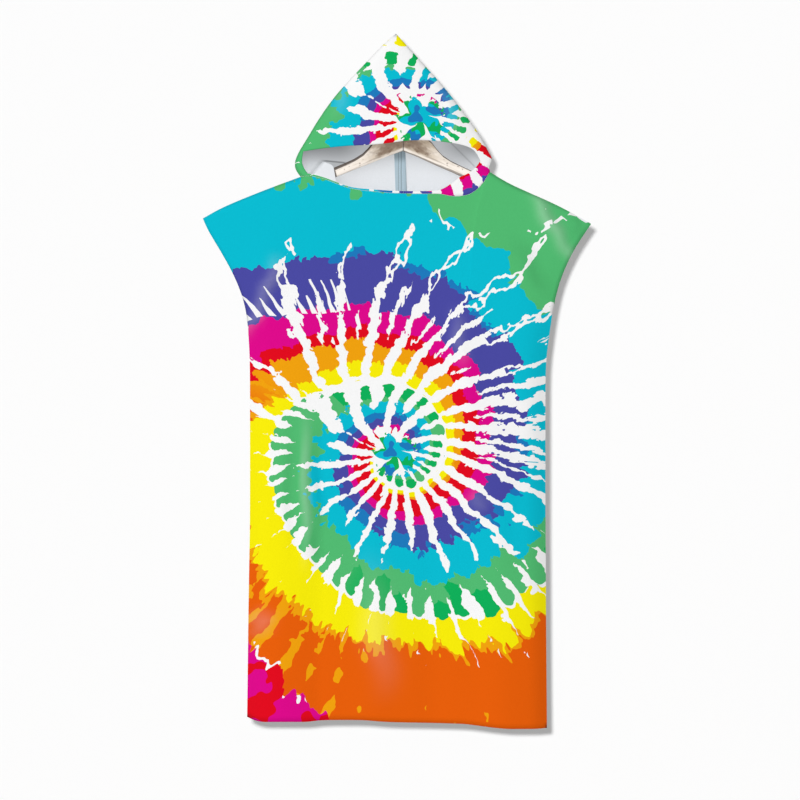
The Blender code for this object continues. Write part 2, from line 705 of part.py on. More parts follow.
def add_stem_hole(top):
    """The hole in the wood that takes the foot of the hook."""
    points = []
    for z in (top - STEM_DEPTH - GAP, top + STEM_DEPTH):
        for k in range(HANGER_SIDES):
            angle = 2 * math.pi * k / HANGER_SIDES
            points.append((STEM_HOLE_RADIUS * math.cos(angle), STEM_HOLE_RADIUS * math.sin(angle), z))
    n = HANGER_SIDES
    faces = [(k, (k + 1) % n, n + (k + 1) % n, n + k) for k in range(n)]
    faces += [tuple(range(n))[::-1], tuple(range(n, 2 * n))]
    cutter = add_mesh("stem_hole", points, faces, None)
    cutter.hide_render = True
    cutter.display_type = "WIRE"
    return cutter


def add_hook(top, material):
    """A bent wire: a stem out of the wood, a bend aside, and most of a circle over the rail."""
    radius = HOOK_INNER_RADIUS + WIRE_RADIUS
    centre_z = -HOOK_INNER_RADIUS
    route = [(0, top - STEM_DEPTH), (0, top), (0, centre_z - STEM_BEND * radius)]
    for k in range(HOOK_STEPS + 1):
        angle = HOOK_START + (HOOK_END - HOOK_START) * k / HOOK_STEPS
        route.append((radius * math.cos(angle), centre_z + radius * math.sin(angle)))
    data = bpy.data.curves.new("hanger_hook", "CURVE")
    data.dimensions = "3D"
    data.bevel_depth = WIRE_RADIUS
    data.bevel_resolution = 4
    data.use_fill_caps = True
    line = data.splines.new("POLY")
    line.points.add(len(route) - 1)
    for point, (x, z) in zip(line.points, route):
        point.co = (x, 0, z, 1)
    data.materials.append(material)
    hook = bpy.data.objects.new("hanger_hook", data)
    bpy.context.scene.collection.objects.link(hook)
    return hook


def build_hanger():
    wood = make_material("wood", 0.65)
    steel = make_material("steel", 0.30, 1.0)
    tilt = bpy.data.objects.new("hanger_tilt", None)
    bpy.context.scene.collection.objects.link(tilt)
    tilt.rotation_euler = (0, HANGER_TILT, 0)
    top = HANGER_ARM[0].top
    cutter = add_stem_hole(top)
    cutter.parent = tilt
    for name, mirror in (("hanger_arm_left", -1), ("hanger_arm_right", 1)):
        arm = add_hanger_arm(name, mirror, wood)
        cut = arm.modifiers.new("stem_hole", "BOOLEAN")
        cut.object = cutter
        arm.parent = tilt
    add_hook(top, steel).parent = tilt


def build_poncho():
    print_cloth = make_material("print", 0.95)
    tape_cloth = make_material("tape", 0.90)
    add_panel("front_panel", FRONT, NECK_FRONT, FRONT_SWELL, FRONT_FOLDS, print_cloth)
    add_panel("back_panel", BACK, NECK_BACK, BACK_SWELL, BACK_FOLDS, print_cloth)
    sheet, seam_column = add_hood(print_cloth)
    add_tape(sheet, seam_column, tape_cloth)


def main():
    for old in list(bpy.data.objects):
        bpy.data.objects.remove(old)
    build_poncho()
    build_hanger()


main()
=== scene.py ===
"""The hooded towel poncho on its hanger: print, cloth, materials, light and camera."""
import json
import math
from collections import namedtuple

import bmesh
import bpy
import numpy as np
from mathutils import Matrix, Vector

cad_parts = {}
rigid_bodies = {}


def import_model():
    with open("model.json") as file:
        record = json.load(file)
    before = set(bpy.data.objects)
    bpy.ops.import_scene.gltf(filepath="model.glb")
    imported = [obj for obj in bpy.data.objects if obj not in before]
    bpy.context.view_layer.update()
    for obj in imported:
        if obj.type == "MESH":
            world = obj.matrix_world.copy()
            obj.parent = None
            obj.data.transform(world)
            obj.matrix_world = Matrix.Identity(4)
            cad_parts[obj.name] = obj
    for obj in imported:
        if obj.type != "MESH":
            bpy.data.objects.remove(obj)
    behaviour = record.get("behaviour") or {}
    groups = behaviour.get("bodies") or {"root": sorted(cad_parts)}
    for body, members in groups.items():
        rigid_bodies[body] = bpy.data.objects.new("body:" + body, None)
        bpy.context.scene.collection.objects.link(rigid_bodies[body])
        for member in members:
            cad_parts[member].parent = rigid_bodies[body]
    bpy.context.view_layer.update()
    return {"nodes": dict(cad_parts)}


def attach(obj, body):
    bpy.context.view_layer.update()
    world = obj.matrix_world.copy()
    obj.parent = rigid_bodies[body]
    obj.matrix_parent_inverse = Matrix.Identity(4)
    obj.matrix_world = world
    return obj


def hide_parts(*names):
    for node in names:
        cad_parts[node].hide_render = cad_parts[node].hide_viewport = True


for thing in list(bpy.data.objects):
    bpy.data.objects.remove(thing)
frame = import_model()


def srgb(r, g, b):
    """A linear colour from the 8-bit values that a screen shows."""
    values = [c / 255 for c in (r, g, b)]
    return tuple(c / 12.92 if c <= 0.04045 else ((c + 0.055) / 1.055) ** 2.4 for c in values) + (1.0,)


def eased(t):
    """From 0 to 1 with a soft start and a soft end."""
    return t * t * (3 - 2 * t)


# ---- shader graphs ----
class Signal:
    """A number that a shader works out at each point of a surface."""

    def __init__(self, graph, socket):
        self.graph = graph
        self.socket = socket

    def __add__(self, other):
        return self.graph.math("ADD", self, other)

    def __sub__(self, other):
        return self.graph.math("SUBTRACT", self, other)

    def __rsub__(self, other):
        return self.graph.math("SUBTRACT", other, self)

    def __mul__(self, other):
        return self.graph.math("MULTIPLY", self, other)

    def __truediv__(self, other):
        return self.graph.math("DIVIDE", self, other)

    def __gt__(self, other):
        return self.graph.math("GREATER_THAN", self, other)

    def __lt__(self, other):
        return self.graph.math("LESS_THAN", self, other)

    __radd__ = __add__
    __rmul__ = __mul__


class Graph:
    """The node tree of a material or a world, built from signals."""

    def __init__(self, owner):
        owner.use_nodes = True
        self.owner = owner
        self.tree = owner.node_tree
        self.shader = self.tree.nodes.get("Principled BSDF") or self.tree.nodes["Background"]

    def put(self, socket, value):
        if isinstance(value, Signal):
            self.tree.links.new(value.socket, socket)
        elif isinstance(value, bpy.types.NodeSocket):
            self.tree.links.new(value, socket)
        else:
            socket.default_value = value

    def feed(self, **inputs):
        """Sets inputs of the shader itself; an underscore stands for a space."""
        for name, value in inputs.items():
            self.put(self.shader.inputs[name.replace("_", " ")], value)

    def node(self, kind, inputs=(), **settings):
        node = self.tree.nodes.new(kind)
        for name, value in settings.items():
            setattr(node, name, value)
        for key, value in dict(inputs).items():
            self.put(node.inputs[key], value)
        return node

    def math(self, operation, *values):
        node = self.node("ShaderNodeMath", enumerate(values), operation=operation)
        return Signal(self, node.outputs[0])

    def size(self, value):
        """A signal without its sign."""
        return self.math("ABSOLUTE", value)

    def floor(self, value):
        return self.math("FLOOR", value)

    def most(self, first, second):
        return self.math("MAXIMUM", first, second)

    def across(self, value):
        """0 in the middle between two whole numbers, and 1 at each of them."""
        return self.size(self.math("FRACT", value) * 2.0 - 1.0)

    def vector(self, x, y, z):
        return self.node("ShaderNodeCombineXYZ", {"X": x, "Y": y, "Z": z}).outputs[0]

    def split(self, socket):
        node = self.node("ShaderNodeSeparateXYZ", {0: socket})
        return [Signal(self, out) for out in node.outputs]

    def place(self):
        """The object's own coordinates, in metres."""
        return self.node("ShaderNodeTexCoord").outputs["Object"]

    def smooth(self, value, low, high):
        """0 below low, 1 above high, and smooth in between; high may be the smaller."""
        node = self.node("ShaderNodeMapRange", {0: value, 1: low, 2: high}, interpolation_type="SMOOTHSTEP")
        return Signal(self, node.outputs[0])

    def noise(self, vector, scale, detail, roughness=0.5):
        """Three channels of smooth noise, each from about -1 to 1."""
        inputs = {"Vector": vector, "Scale": scale, "Detail": detail, "Roughness": roughness}
        channels = self.split(self.node("ShaderNodeTexNoise", inputs).outputs["Color"])
        return [(channel - 0.5) * 2.0 for channel in channels]

    def random(self, *values):
        """Three random channels from 0 to 1, the same wherever the values are the same."""
        node = self.node("ShaderNodeTexWhiteNoise", {"Vector": self.vector(*values)}, noise_dimensions="3D")
        return self.split(node.outputs["Color"])

    def mix(self, share, a, b):
        return self.node("ShaderNodeMix", {0: share, 6: a, 7: b}, data_type="RGBA").outputs[2]

    def shaded(self, colour, shade):
        """A colour made lighter or darker by a signal."""
        factor = self.vector(shade, shade, shade)
        return self.node("ShaderNodeVectorMath", {0: colour, 1: factor}, operation="MULTIPLY").outputs[0]

    def curve(self, value, points):
        """A value looked up in (from 0 to 1, value) points, with straight lines between."""
        node = self.node("ShaderNodeFloatCurve", {1: value})
        line = node.mapping.curves[0]
        while len(line.points) < len(points):
            line.points.new(0.5, 0.5)
        for point, (at, height) in zip(line.points, points):
            point.location = (at, height)
            point.handle_type = "VECTOR"
        node.mapping.update()
        return Signal(self, node.outputs[0])


# ---- the print ----
# The dyes. All but the white and the mid blue are the medians of colour groups that a script
# worked out from the photo's pixels.
WHITE = srgb(253, 253, 253)
YELLOW = srgb(251, 240, 6)
AMBER = srgb(244, 164, 11)
ORANGE = srgb(235, 96, 6)
RED = srgb(228, 7, 29)
MAGENTA = srgb(225, 5, 141)
PURPLE = srgb(75, 75, 165)
BLUE = srgb(30, 124, 192)
CYAN = srgb(5, 191, 213)
GREEN = srgb(83, 190, 116)
DARK_GREEN = srgb(12, 178, 91)

# The spiral's rise, its start, and the tables below were read from the photo's print, unrolled
# about its centre, and corrected by comparing renders.
GROWTH = 1.508  # rise of ln(radius) in one turn
START = 0.0975  # radius of the yellow-green edge at angle 0
TEETH = 52  # green teeth in a turn, at the left and bottom of the outer turn
TINES = 118  # fine strokes in a turn, in the comb at the upper left
PETALS = 5  # white rays in the middle
BLUNTNESS = 0.01  # radius within which the very middle stops shrinking to a point

# Where each colour ends, as a share of the way from one yellow-green edge to the next,
# by how many turns the arm has made: below 0 is the inner turn and above 0 the outer one.
Band = namedtuple("Band", "turns yellow amber red magenta purple cyan")
BANDS = (
    Band(-1.50, 0.10, 0.105, 0.34, 0.40, 0.56, 0.79),
    Band(-0.30, 0.10, 0.105, 0.36, 0.44, 0.60, 0.79),
    Band(0.00, 0.12, 0.20, 0.34, 0.44, 0.64, 0.86),
    Band(0.15, 0.13, 0.24, 0.33, 0.43, 0.64, 0.82),
    Band(0.27, 0.13, 0.25, 0.33, 0.43, 0.64, 0.82),
    Band(0.36, 0.13, 0.29, 0.35, 0.48, 0.66, 0.87),
    Band(0.45, 0.12, 0.29, 0.34, 0.52, 0.70, 0.86),
    Band(0.55, 0.17, 0.40, 0.43, 0.62, 0.74, 0.88),
    Band(0.64, 0.20, 0.39, 0.44, 0.66, 0.78, 0.88),
    Band(0.70, 0.15, 0.39, 0.45, 0.66, 0.78, 0.88),
    Band(0.735, 0.12, 0.44, 0.50, 0.70, 0.80, 0.90),
    Band(0.82, 0.10, 0.64, 0.68, 0.78, 0.86, 0.93),
    Band(1.50, 0.10, 0.64, 0.68, 0.78, 0.86, 0.93),
)
CORNER_AMBER = 0.39  # amber's end near the lower left corner, where magenta and red dye lies past it

# White streaks between the lobes: how far along a band they reach, and how wide they are
Streak = namedtuple("Streak", "turns reach width")
STREAKS = (
    Streak(-1.50, 1.05, 0.30),
    Streak(-1.06, 1.05, 0.34),
    Streak(-0.98, 1.15, 0.46),
    Streak(-0.62, 1.15, 0.48),
    Streak(-0.50, 0.64, 0.52),
    Streak(-0.35, 0.64, 0.52),
    Streak(-0.20, 0.78, 0.48),
    Streak(0.00, 0.80, 0.46),
    Streak(0.10, 0.80, 0.42),
    Streak(0.25, 0.76, 0.38),
    Streak(0.33, 0.60, 0.32),
    Streak(0.40, 0.34, 0.26),
    Streak(0.46, 0.02, 0.20),
    Streak(0.50, -0.12, 0.10),
    Streak(1.50, -0.12, 0.10),
)
TABLE_END = 1.5  # both tables run from this many turns before angle 0 to as many after it
REACH_RANGE = (-0.2, 1.2)

# Directions from the print's centre, in degrees from the right and turning upwards
FLAMES_WAY = 12
CORNER_WAY = 48
SLANT_WAY = 60
DROPS_WAY = 65
TWIGS_WAY = 85
TIP_WAY = 95
COMB_WAY = 124
BULGE_WAY = 167
PATCHY_WAY = 185
DARK_SHARE_WAY = 200
DARK_START_WAY = 205

# Which random numbers each kind of thing draws
LOBE_DRAW = 1.0
BORDER_DRAW = 2.0
TOOTH_DRAW = 4.0
SPIKE_DRAW = 5.0
TINE_DRAW = 8.0
EMPTY_DRAW = 9.0


class SpiralPrint:
    """A spiral tie-dye around a centre, in the plane of x and z."""

    def __init__(self, g, centre, scale=1.0, mirror=1.0, seed=0.0, notches=1.0, tip_pull=0.0):
        self.g = g
        self.seed = seed
        self.notches = notches
        self.tip_pull = tip_pull
        place = g.split(g.place())
        self.x = (place[0] - centre[0]) * (mirror / scale)
        self.z = (place[2] - centre[1]) * (1 / scale)
        self.radius = g.math("SQRT", self.x * self.x + self.z * self.z + BLUNTNESS**2)
        self.depth = g.math("LOGARITHM", self.radius, math.e)
        self.ux = self.x / self.radius
        self.uz = self.z / self.radius
        self.turn = g.math("FRACT", g.math("ARCTAN2", self.z, self.x) * (1 / (2 * math.pi)) + 1.0)
        self.slow = self.pattern(1.3, 2.0)
        self.coarse = self.pattern(3.2)
        self.soft = self.pattern(8.0, 1.2)
        self.blob = self.pattern(14.0, 1.2)
        self.nibble = self.pattern(34.0, 1.2, shift=7.0)
        self.torn = self.pattern(30.0, 3.0, shift=3.0)
        self.rugged = g.smooth(self.radius, 0.07, 0.17)
        self.find_teeth()
        self.find_arm()
        self.find_lobes()
        self.shift_hues()

    def pattern(self, size, stretch=1.0, shift=0.0):
        """Noise that is as coarse along the radius, times stretch, as around it."""
        at = self.g.vector(self.ux * size + self.seed, self.uz * size + shift, self.depth * (size / stretch))
        return self.g.noise(at, 1.0, 1.0)

    def toward(self, degrees):
        """Cosine between a point's direction from the centre and the given one."""
        return self.ux * math.cos(math.radians(degrees)) + self.uz * math.sin(math.radians(degrees))

    def peak(self, degrees, power):
        """1 in the given direction, fading to both sides, and 0 at a right angle to it."""
        return self.g.math("POWER", self.g.most(self.toward(degrees), 0.0), power)

    def look_up(self, table, column, low=0.0, high=1.0):
        """A table's column at this point of the arm, with straight lines between its rows."""
        run = 2 * TABLE_END
        span = high - low
        points = [((row.turns + TABLE_END) / run, (getattr(row, column) - low) / span) for row in table]
        return self.g.curve((self.turns + TABLE_END) * (1 / run), points) * span + low

    def ends(self, colour):
        return self.look_up(BANDS, colour)

    def find_teeth(self):
        """The green teeth at the left and bottom of the outer turn."""
        g = self.g
        at = self.turn * TEETH + 0.60 * self.coarse[1] + 0.24 * self.blob[1] + 0.16 * self.nibble[1]
        tooth = g.floor(at)
        self.tooth_side = g.size((at - tooth) * 2.0 - 1.0)
        self.tooth_chance = g.random(tooth, self.seed, TOOTH_DRAW)
        self.spike = g.random(g.floor(at + 0.5), self.seed, SPIKE_DRAW)
        self.toothed = g.smooth(self.turn, 0.36, 0.42) * g.smooth(self.radius, 0.15, 0.20) * self.notches

    def find_arm(self):
        """The arm of the spiral: its phase is a whole number at each yellow-green edge."""
        g = self.g
        swirl = g.smooth(self.depth, math.log(0.080), math.log(0.020))
        phase = (self.depth - math.log(START)) * (1 / GROWTH) - self.turn
        phase = phase + 0.05 * self.slow[1] + 0.25 * swirl
        phase = phase - 0.09 * self.peak(BULGE_WAY, 8.0) * g.smooth(self.radius, 0.10, 0.20)
        phase = phase - 0.12 * self.peak(CORNER_WAY, 6.0) * g.smooth(self.radius, 0.46, 0.56)
        tooth_length = 0.016 + 0.034 * self.tooth_chance[2]
        phase = phase - self.toothed * tooth_length * (1.0 - self.tooth_side * self.tooth_side)
        if self.tip_pull:
            phase = phase + self.tip_pull * self.peak(TIP_WAY, 8.0)
        arm = g.floor(phase)
        self.hue = phase - arm
        self.turns = self.turn + arm
        self.outer = g.smooth(self.turns, -0.14, 0.12)
        self.inner = 1.0 - self.outer
        self.low = self.outer * g.smooth(self.turn, 0.40, 0.47)

    def find_lobes(self):
        """Lobes along the arm, more of them in each outer turn, and joined in pairs inside."""
        g = self.g
        slant = self.hue * (0.030 + 0.060 * g.smooth(self.toward(SLANT_WAY), -0.4, 0.9))
        at = self.turns + slant
        middle = g.math("MINIMUM", at + 1.0, 0.0)
        along = at * 25.3 + at * at * 2.5 + middle * middle * 5.0
        along = along + 0.24 * self.coarse[0] + 0.10 * self.soft[2] + 0.08 * self.blob[2] * self.rugged
        self.along = along
        lobe = g.floor(along)
        self.side = g.size((along - lobe) * 2.0 - 1.0)  # 0 in a lobe's middle, 1 at its edges
        border = g.floor(along + 0.5)
        self.odd = g.size(g.math("MODULO", border, 2.0)) > 0.5
        self.chance = g.random(lobe, self.seed, LOBE_DRAW)
        self.streak = g.random(border, self.seed, BORDER_DRAW)
        bare = g.smooth(self.hue, 0.42, 0.33) * g.smooth(self.turns, -0.58, -0.68)
        self.bare = bare * g.smooth(self.turns, -1.04, -0.94)

    def shift_hues(self):
        """Each lobe starts its colours a little early or late; low down the edges are torn instead."""
        g, soft, rugged = self.g, self.soft, self.rugged
        self.early = (self.chance[0] - 0.5) * 0.085 * g.smooth(self.radius, 0.50, 0.36)
        lobed = self.hue + self.early + 0.030 * (0.5 - self.side * self.side) * (1.0 - rugged)
        self.lobed = lobed + 0.022 * soft[0] + (0.024 * self.blob[0] + 0.024 * self.nibble[0]) * rugged
        torn_hue = self.hue + 0.060 * self.torn[0] + 0.030 * soft[0]
        self.used = self.lobed * (1.0 - self.low) + torn_hue * self.low

    def bands(self):
        """The colours one after another along the arm."""
        g, turn, soft, blob = self.g, self.turn, self.soft, self.blob
        fringe = (self.used + 0.05 * self.torn[2]) < self.ends("yellow") + 0.022
        vein_from = 0.70 + 0.55 * g.smooth(turn, 0.66, 0.78) - 0.30 * g.smooth(turn, 0.84, 0.90)
        vein = (self.tooth_side + 0.75 * blob[1] + 0.35 * self.torn[1]) > vein_from
        amber = 1.0 - self.low * (1.0 - g.most(fringe, vein))
        patchy = (0.09 * soft[1] + 0.06 * blob[0]) * self.inner * g.smooth(self.toward(PATCHY_WAY), 0.0, 0.6)
        above = g.smooth(self.radius, 0.38, 0.46) * g.smooth(self.uz, 0.2, 0.5)
        patchy = patchy + 0.09 * soft[1] * self.outer * above
        colour = g.mix(self.used > self.ends("yellow"), YELLOW, g.mix(amber, ORANGE, AMBER))
        for ended, band in (("amber", RED), ("red", MAGENTA), ("magenta", PURPLE), ("purple", CYAN)):
            colour = g.mix(self.used > self.ends(ended), colour, band)
        return g.mix(self.used + patchy > self.ends("cyan"), colour, GREEN)

    def dyes(self):
        """The bands, and the smaller patches of other dye on them."""
        g, soft, blob = self.g, self.soft, self.blob
        colour = self.bands()
        corner = self.low * (self.used > self.ends("amber"))
        corner = corner * (g.size(self.ends("amber") - CORNER_AMBER) < 0.06)
        colour = g.mix(corner, colour, g.mix((blob[0] + 0.8 * soft[1]) > 0.04, MAGENTA, RED))
        near_cyan = g.size(self.lobed - self.ends("purple")) < (0.040 * self.inner + 0.014)
        blue = near_cyan * ((self.chance[2] + 0.8 * soft[1]) > (0.30 + 0.45 * self.outer))
        colour = g.mix(blue, colour, BLUE)
        dark_from = 0.84 + 0.07 * self.outer + 0.06 * g.smooth(self.toward(DARK_START_WAY), 0.2, 0.8)
        dark_share = 0.08 + 0.60 * g.smooth(self.toward(DARK_SHARE_WAY), 0.2, 0.7) + 2.0 * self.outer
        dark = ((self.used + 0.02 * blob[2]) > dark_from) * (self.chance[1] > dark_share)
        dark = dark * (self.radius < 0.20)
        tip_from = 0.935 - 0.15 * self.tooth_chance[1] + 0.06 * self.tooth_side
        tip = (self.hue > tip_from) * (self.tooth_chance[0] > 0.42) * (self.tooth_side < 0.80)
        tip = tip * g.smooth(self.turn, 0.66, 0.72) * (self.radius > 0.20)
        return g.mix(g.most(dark, tip), colour, DARK_GREEN)

    def streak_width(self, right):
        """How wide the white streaks are, as a share of the lobes' spacing."""
        g, hue, streak = self.g, self.hue, self.streak
        reach = self.look_up(STREAKS, "reach", *REACH_RANGE) + 0.30 * (streak[0] - 0.5)
        width = self.look_up(STREAKS, "width") + (0.12 + 0.10 * self.inner) * (streak[1] - 0.5)
        width = width * g.smooth(hue - reach, 0.10, -0.10)
        slimmer = 0.50 * g.smooth(hue, 0.30 - 0.10 * self.outer, 0.60 - 0.10 * self.outer)
        slimmer = slimmer * (1.0 - 0.9 * right)
        width = width * (1.0 - g.smooth(self.turns, -0.55, -0.40) * slimmer)
        thick = 0.08 * g.smooth(self.radius, 0.075, 0.035)
        joining = g.smooth(self.turns, -0.45, -0.60) * g.smooth(hue, 0.76, 0.62)
        width = (width + thick) * (1.0 + joining * (0.40 - 1.40 * self.odd))
        return g.most(width, (0.60 + 0.10 * streak[2]) * self.bare)

    def streaks(self):
        """White streaks between the lobes."""
        g, hue, outer, rugged = self.g, self.hue, self.outer, self.rugged
        right = g.smooth(self.toward(FLAMES_WAY), 0.88, 0.97) * outer
        width = self.streak_width(right)
        branch_at = g.vector(self.ux * 26.0 + self.seed, self.uz * 26.0, self.depth * 11.0)
        branch = g.noise(branch_at, 1.0, 2.0, 0.6)
        ragged = 0.75 * right * g.smooth(hue, 0.36, 0.46)
        ragged = ragged + 0.30 * outer * (1.0 - right) * g.smooth(hue, 0.16, 0.36)
        mark = self.side + ragged * branch[0] + (0.34 - 0.14 * rugged) * self.soft[1]
        mark = mark + (0.20 + 0.16 * rugged) * self.blob[1] + 0.14 * self.nibble[1] * rugged
        white = (mark > 1.0 - width) * (width > 0.03)
        white = g.most(white, self.twigs(right, branch))
        # far out they are only outlines with dye inside, and here and there a sliver of dye is left
        hole = (mark > 1.16 - width) * (hue > 0.58) * (outer > 0.5) * (right < 0.5)
        sliver = (self.side > 0.88 + 0.1 * self.soft[2]) * (self.streak[2] > 0.60)
        sliver = sliver * (g.size(hue - 0.42) < 0.10) * (width > 0.36) * (outer > 0.5)
        return white * (1.0 - g.most(hole, sliver))

    def twigs(self, right, branch):
        """To the right each streak forks into ragged flames, and above into a few short twigs."""
        g, hue, chance = self.g, self.hue, self.chance
        at = g.across(self.along * 2.0 + 0.35 * branch[1])
        width = right * (0.26 + 0.40 * self.streak[1]) * g.smooth(hue, 0.26, 0.42) * g.smooth(hue, 0.96, 0.70)
        above = self.outer * g.smooth(self.toward(TWIGS_WAY), 0.45, 0.65) * (1.0 - right) * (chance[2] > 0.42)
        fading = g.smooth(hue, 0.40 + 0.40 * chance[0], 0.30 + 0.40 * chance[0])
        width = width + above * 0.26 * g.smooth(hue, 0.26, 0.36) * fading
        return (at + 0.40 * branch[2] + 0.20 * self.nibble[1] > 1.0 - width) * (width > 0.05)

    def gaps_of_drops(self):
        """White between the colours too, so that the dye lies in separate drops."""
        g = self.g
        apart = (self.toward(DROPS_WAY) > 0.25 + 0.3 * self.soft[1]) * (self.radius > 0.046)
        rounding = 0.060 * self.side * self.side + 0.020 * self.soft[0]
        first = g.size(self.lobed - 0.455) < 0.034 + rounding
        second = (g.size(self.lobed - 0.835) < 0.002 + rounding) * (self.chance[0] > 0.35)
        return g.most(first, second) * apart

    def edge_gap(self):
        """The gap at the yellow-green edge, and low down white spikes that reach into the yellow."""
        g, soft, blob, nibble, spike = self.g, self.soft, self.blob, self.nibble, self.spike
        side = self.side
        edge = g.math("WRAP", self.hue, 0.5, -0.5)
        shifted = edge + 0.8 * self.early
        tip = shifted + 0.070 * side * side + 0.014 * soft[0] + 0.010 * nibble[2] * self.rugged
        heel = shifted - 0.030 * side * side + 0.014 * soft[0] + 0.010 * nibble[0] * self.rugged
        gap = (tip > -0.014 - 0.016 * self.inner) * (heel < 0.016 + 0.012 * self.inner)
        wedge = g.smooth(edge, 0.050, 0.0) * (0.16 + 0.30 * spike[1])
        wedge = wedge * (1.0 - 0.40 * g.smooth(self.turn, 0.74, 0.82))
        wedge = wedge + 0.24 * g.smooth(edge, 0.060 + 0.130 * (spike[0] * spike[0]), 0.0)
        wedge = wedge * g.smooth(edge + 0.070 * spike[2], -0.050, -0.004)
        wedge = wedge * (1.0 - (1.0 - self.notches) * (edge < 0.0))
        spikes = (self.tooth_side + 0.20 * blob[1] + 0.12 * nibble[1]) > (1.03 - wedge)
        skin = (g.size(edge + 0.008 * blob[1]) < 0.006) * (self.tooth_chance[1] + 0.5 * soft[0] > 0.45)
        fringe = g.most(spikes, skin * float(self.notches > 0.5)) * (edge > -0.12) * (edge < 0.20)
        ring = g.smooth(self.turn, 0.36, 0.42) * (self.radius > 0.15)
        return g.most(gap * (ring < 0.5), fringe * (ring > 0.5))

    def comb(self):
        """A comb of fine strokes at the upper left."""
        g, blob = self.g, self.blob
        at = self.turn * TINES + 0.5 * self.coarse[2] + 0.2 * blob[2]
        length = g.random(g.floor(at + 0.5), self.seed, TINE_DRAW)[0]
        off = self.hue - self.ends("magenta") - 0.020 * self.soft[1]
        stroke = g.across(at) + 0.15 * blob[0] > 0.50 + 4.0 * off * (1.6 - length)
        stroke = stroke * (off > -0.012) * (off < 0.06 + 0.07 * length)
        return stroke * (self.toward(COMB_WAY) > 0.955) * (self.radius > 0.28)

    def seam(self):
        """A thin broken white line round the magenta corner, low at the left."""
        near = self.low * (self.turn > 0.60) * (self.turn < 0.74) * (self.radius > 0.40)
        line = self.g.size(self.used - self.ends("amber") + 0.004) < 0.007
        return line * near * (self.soft[2] > 0.10)

    def squiggles(self):
        """A few loose squiggles high up."""
        line = self.g.size(self.blob[0] + 0.5 * self.soft[2] + 0.10 * self.nibble[1]) < 0.070
        line = line * (self.coarse[2] > 0.06) * (self.soft[0] > 0.04)
        return line * (self.radius > 0.40) * (self.uz > 0.30) * (self.hue > 0.80)

    def white(self):
        """Where the cloth took no dye, outside the middle."""
        g = self.g
        pair = g.floor(self.along * 0.5 + 0.25)
        empty = (self.bare > 0.5) * (g.random(pair, self.seed, EMPTY_DRAW)[0] > 0.35)
        parts = [self.edge_gap(), empty, self.seam(), self.comb(), self.squiggles()]
        if self.tip_pull:
            parts.append(self.gaps_of_drops())
        white = self.streaks()
        for part in parts:
            white = g.most(white, part)
        return white

    def heart(self):
        """The middle, where the twisted cloth took mostly blue and green: its dye and its white."""
        g, radius = self.g, self.radius
        drop = g.noise(g.vector(self.x, self.z, self.seed), 30.0, 1.0)
        petal = g.across(self.turn * PETALS + 0.75 * drop[1] + self.depth * 0.30 + 20.0)
        blue = g.mix(drop[1] > 0.10, CYAN, BLUE)
        dye = g.mix(drop[0] + 8.0 * (radius - 0.030) > 0.10, blue, DARK_GREEN)
        white = (petal + drop[2]) > 0.66 + 8.0 * (0.030 - radius) + 2.0 * (radius < 0.014)
        return dye, white

    def colour(self):
        g = self.g
        inside = self.radius < 0.043 + 0.012 * self.soft[0]
        heart_dye, heart_white = self.heart()
        dye = g.mix(inside, self.dyes(), heart_dye)
        white = self.white() * (1.0 - inside) + heart_white * inside
        return g.mix(white, dye, WHITE)


# ---- the cloth ----
INSIDE_SLOT = 1
# Middles and half-sizes, which tell the cloth's outside from its inside
MIDDLE_OF_BODY = (-0.012, 0.0, -0.69)
SIZE_OF_BODY = (0.36, 0.022, 0.60)
MIDDLE_OF_HOOD = (-0.020, 0.0, -0.03)
SIZE_OF_HOOD = (0.19, 0.018, 0.16)

MERGE_DISTANCE = 0.00012
FLAT_FACES = 0.6  # radians between triangles that are joined into one face
SQUARE_FACES = 0.9  # and how far from a square that face may be
RIM_ANGLE = math.radians(40)  # a rim's edge is at least as sharp as this
CORNER_COSINE = -0.80  # a rim that turns more sharply than this has a corner
SHARP_ANGLE = math.radians(50)
ROUNDS = 2  # of subdivision

RELIEF = 1.6  # how much the creases below are deepened
PAINTED_LIGHT_SPREAD = 1.3  # the painted highlight and shade spread over a wider strip than its crease
PAINTED_LIGHT_HEIGHT = 0.004  # a crease this high has a painted light tone of 1, before the relief

# The creases that show, from one end to the other: how far each stands out (below 0 is a trough),
# how wide it is, and how fast it fades at its ends. Those on the back are guessed.
Crease = namedtuple("Crease", "x0 z0 x1 z1 out width fade")
FRONT_CREASES = (
    Crease(0.256, -0.185, 0.300, -0.262, 0.0040, 0.022, 0.35),
    Crease(0.300, -0.262, 0.345, -0.330, 0.0030, 0.020, 0.40),
    Crease(0.345, -0.225, 0.352, -0.262, -0.0030, 0.022, 0.45),
    Crease(0.232, -0.290, 0.290, -0.372, -0.0035, 0.026, 0.40),
    Crease(-0.248, -0.320, -0.276, -0.392, 0.0030, 0.020, 0.40),
    Crease(-0.276, -0.392, -0.302, -0.445, 0.0026, 0.018, 0.40),
    Crease(-0.192, -0.650, -0.190, -0.860, 0.0034, 0.016, 0.35),
    Crease(-0.221, -0.660, -0.219, -0.850, -0.0026, 0.018, 0.35),
    Crease(-0.163, -0.665, -0.160, -0.850, -0.0022, 0.018, 0.35),
    Crease(-0.168, -0.850, -0.164, -0.900, -0.0022, 0.020, 0.45),
    Crease(0.102, -0.425, 0.114, -0.500, 0.0022, 0.022, 0.45),
    Crease(0.142, -0.765, 0.150, -0.800, 0.0018, 0.026, 0.45),
    Crease(-0.285, -1.000, -0.272, -1.035, 0.0020, 0.034, 0.45),
    Crease(-0.060, -0.930, -0.040, -1.120, 0.0014, 0.040, 0.40),
    Crease(0.205, -0.640, 0.220, -0.900, -0.0014, 0.040, 0.40),
)
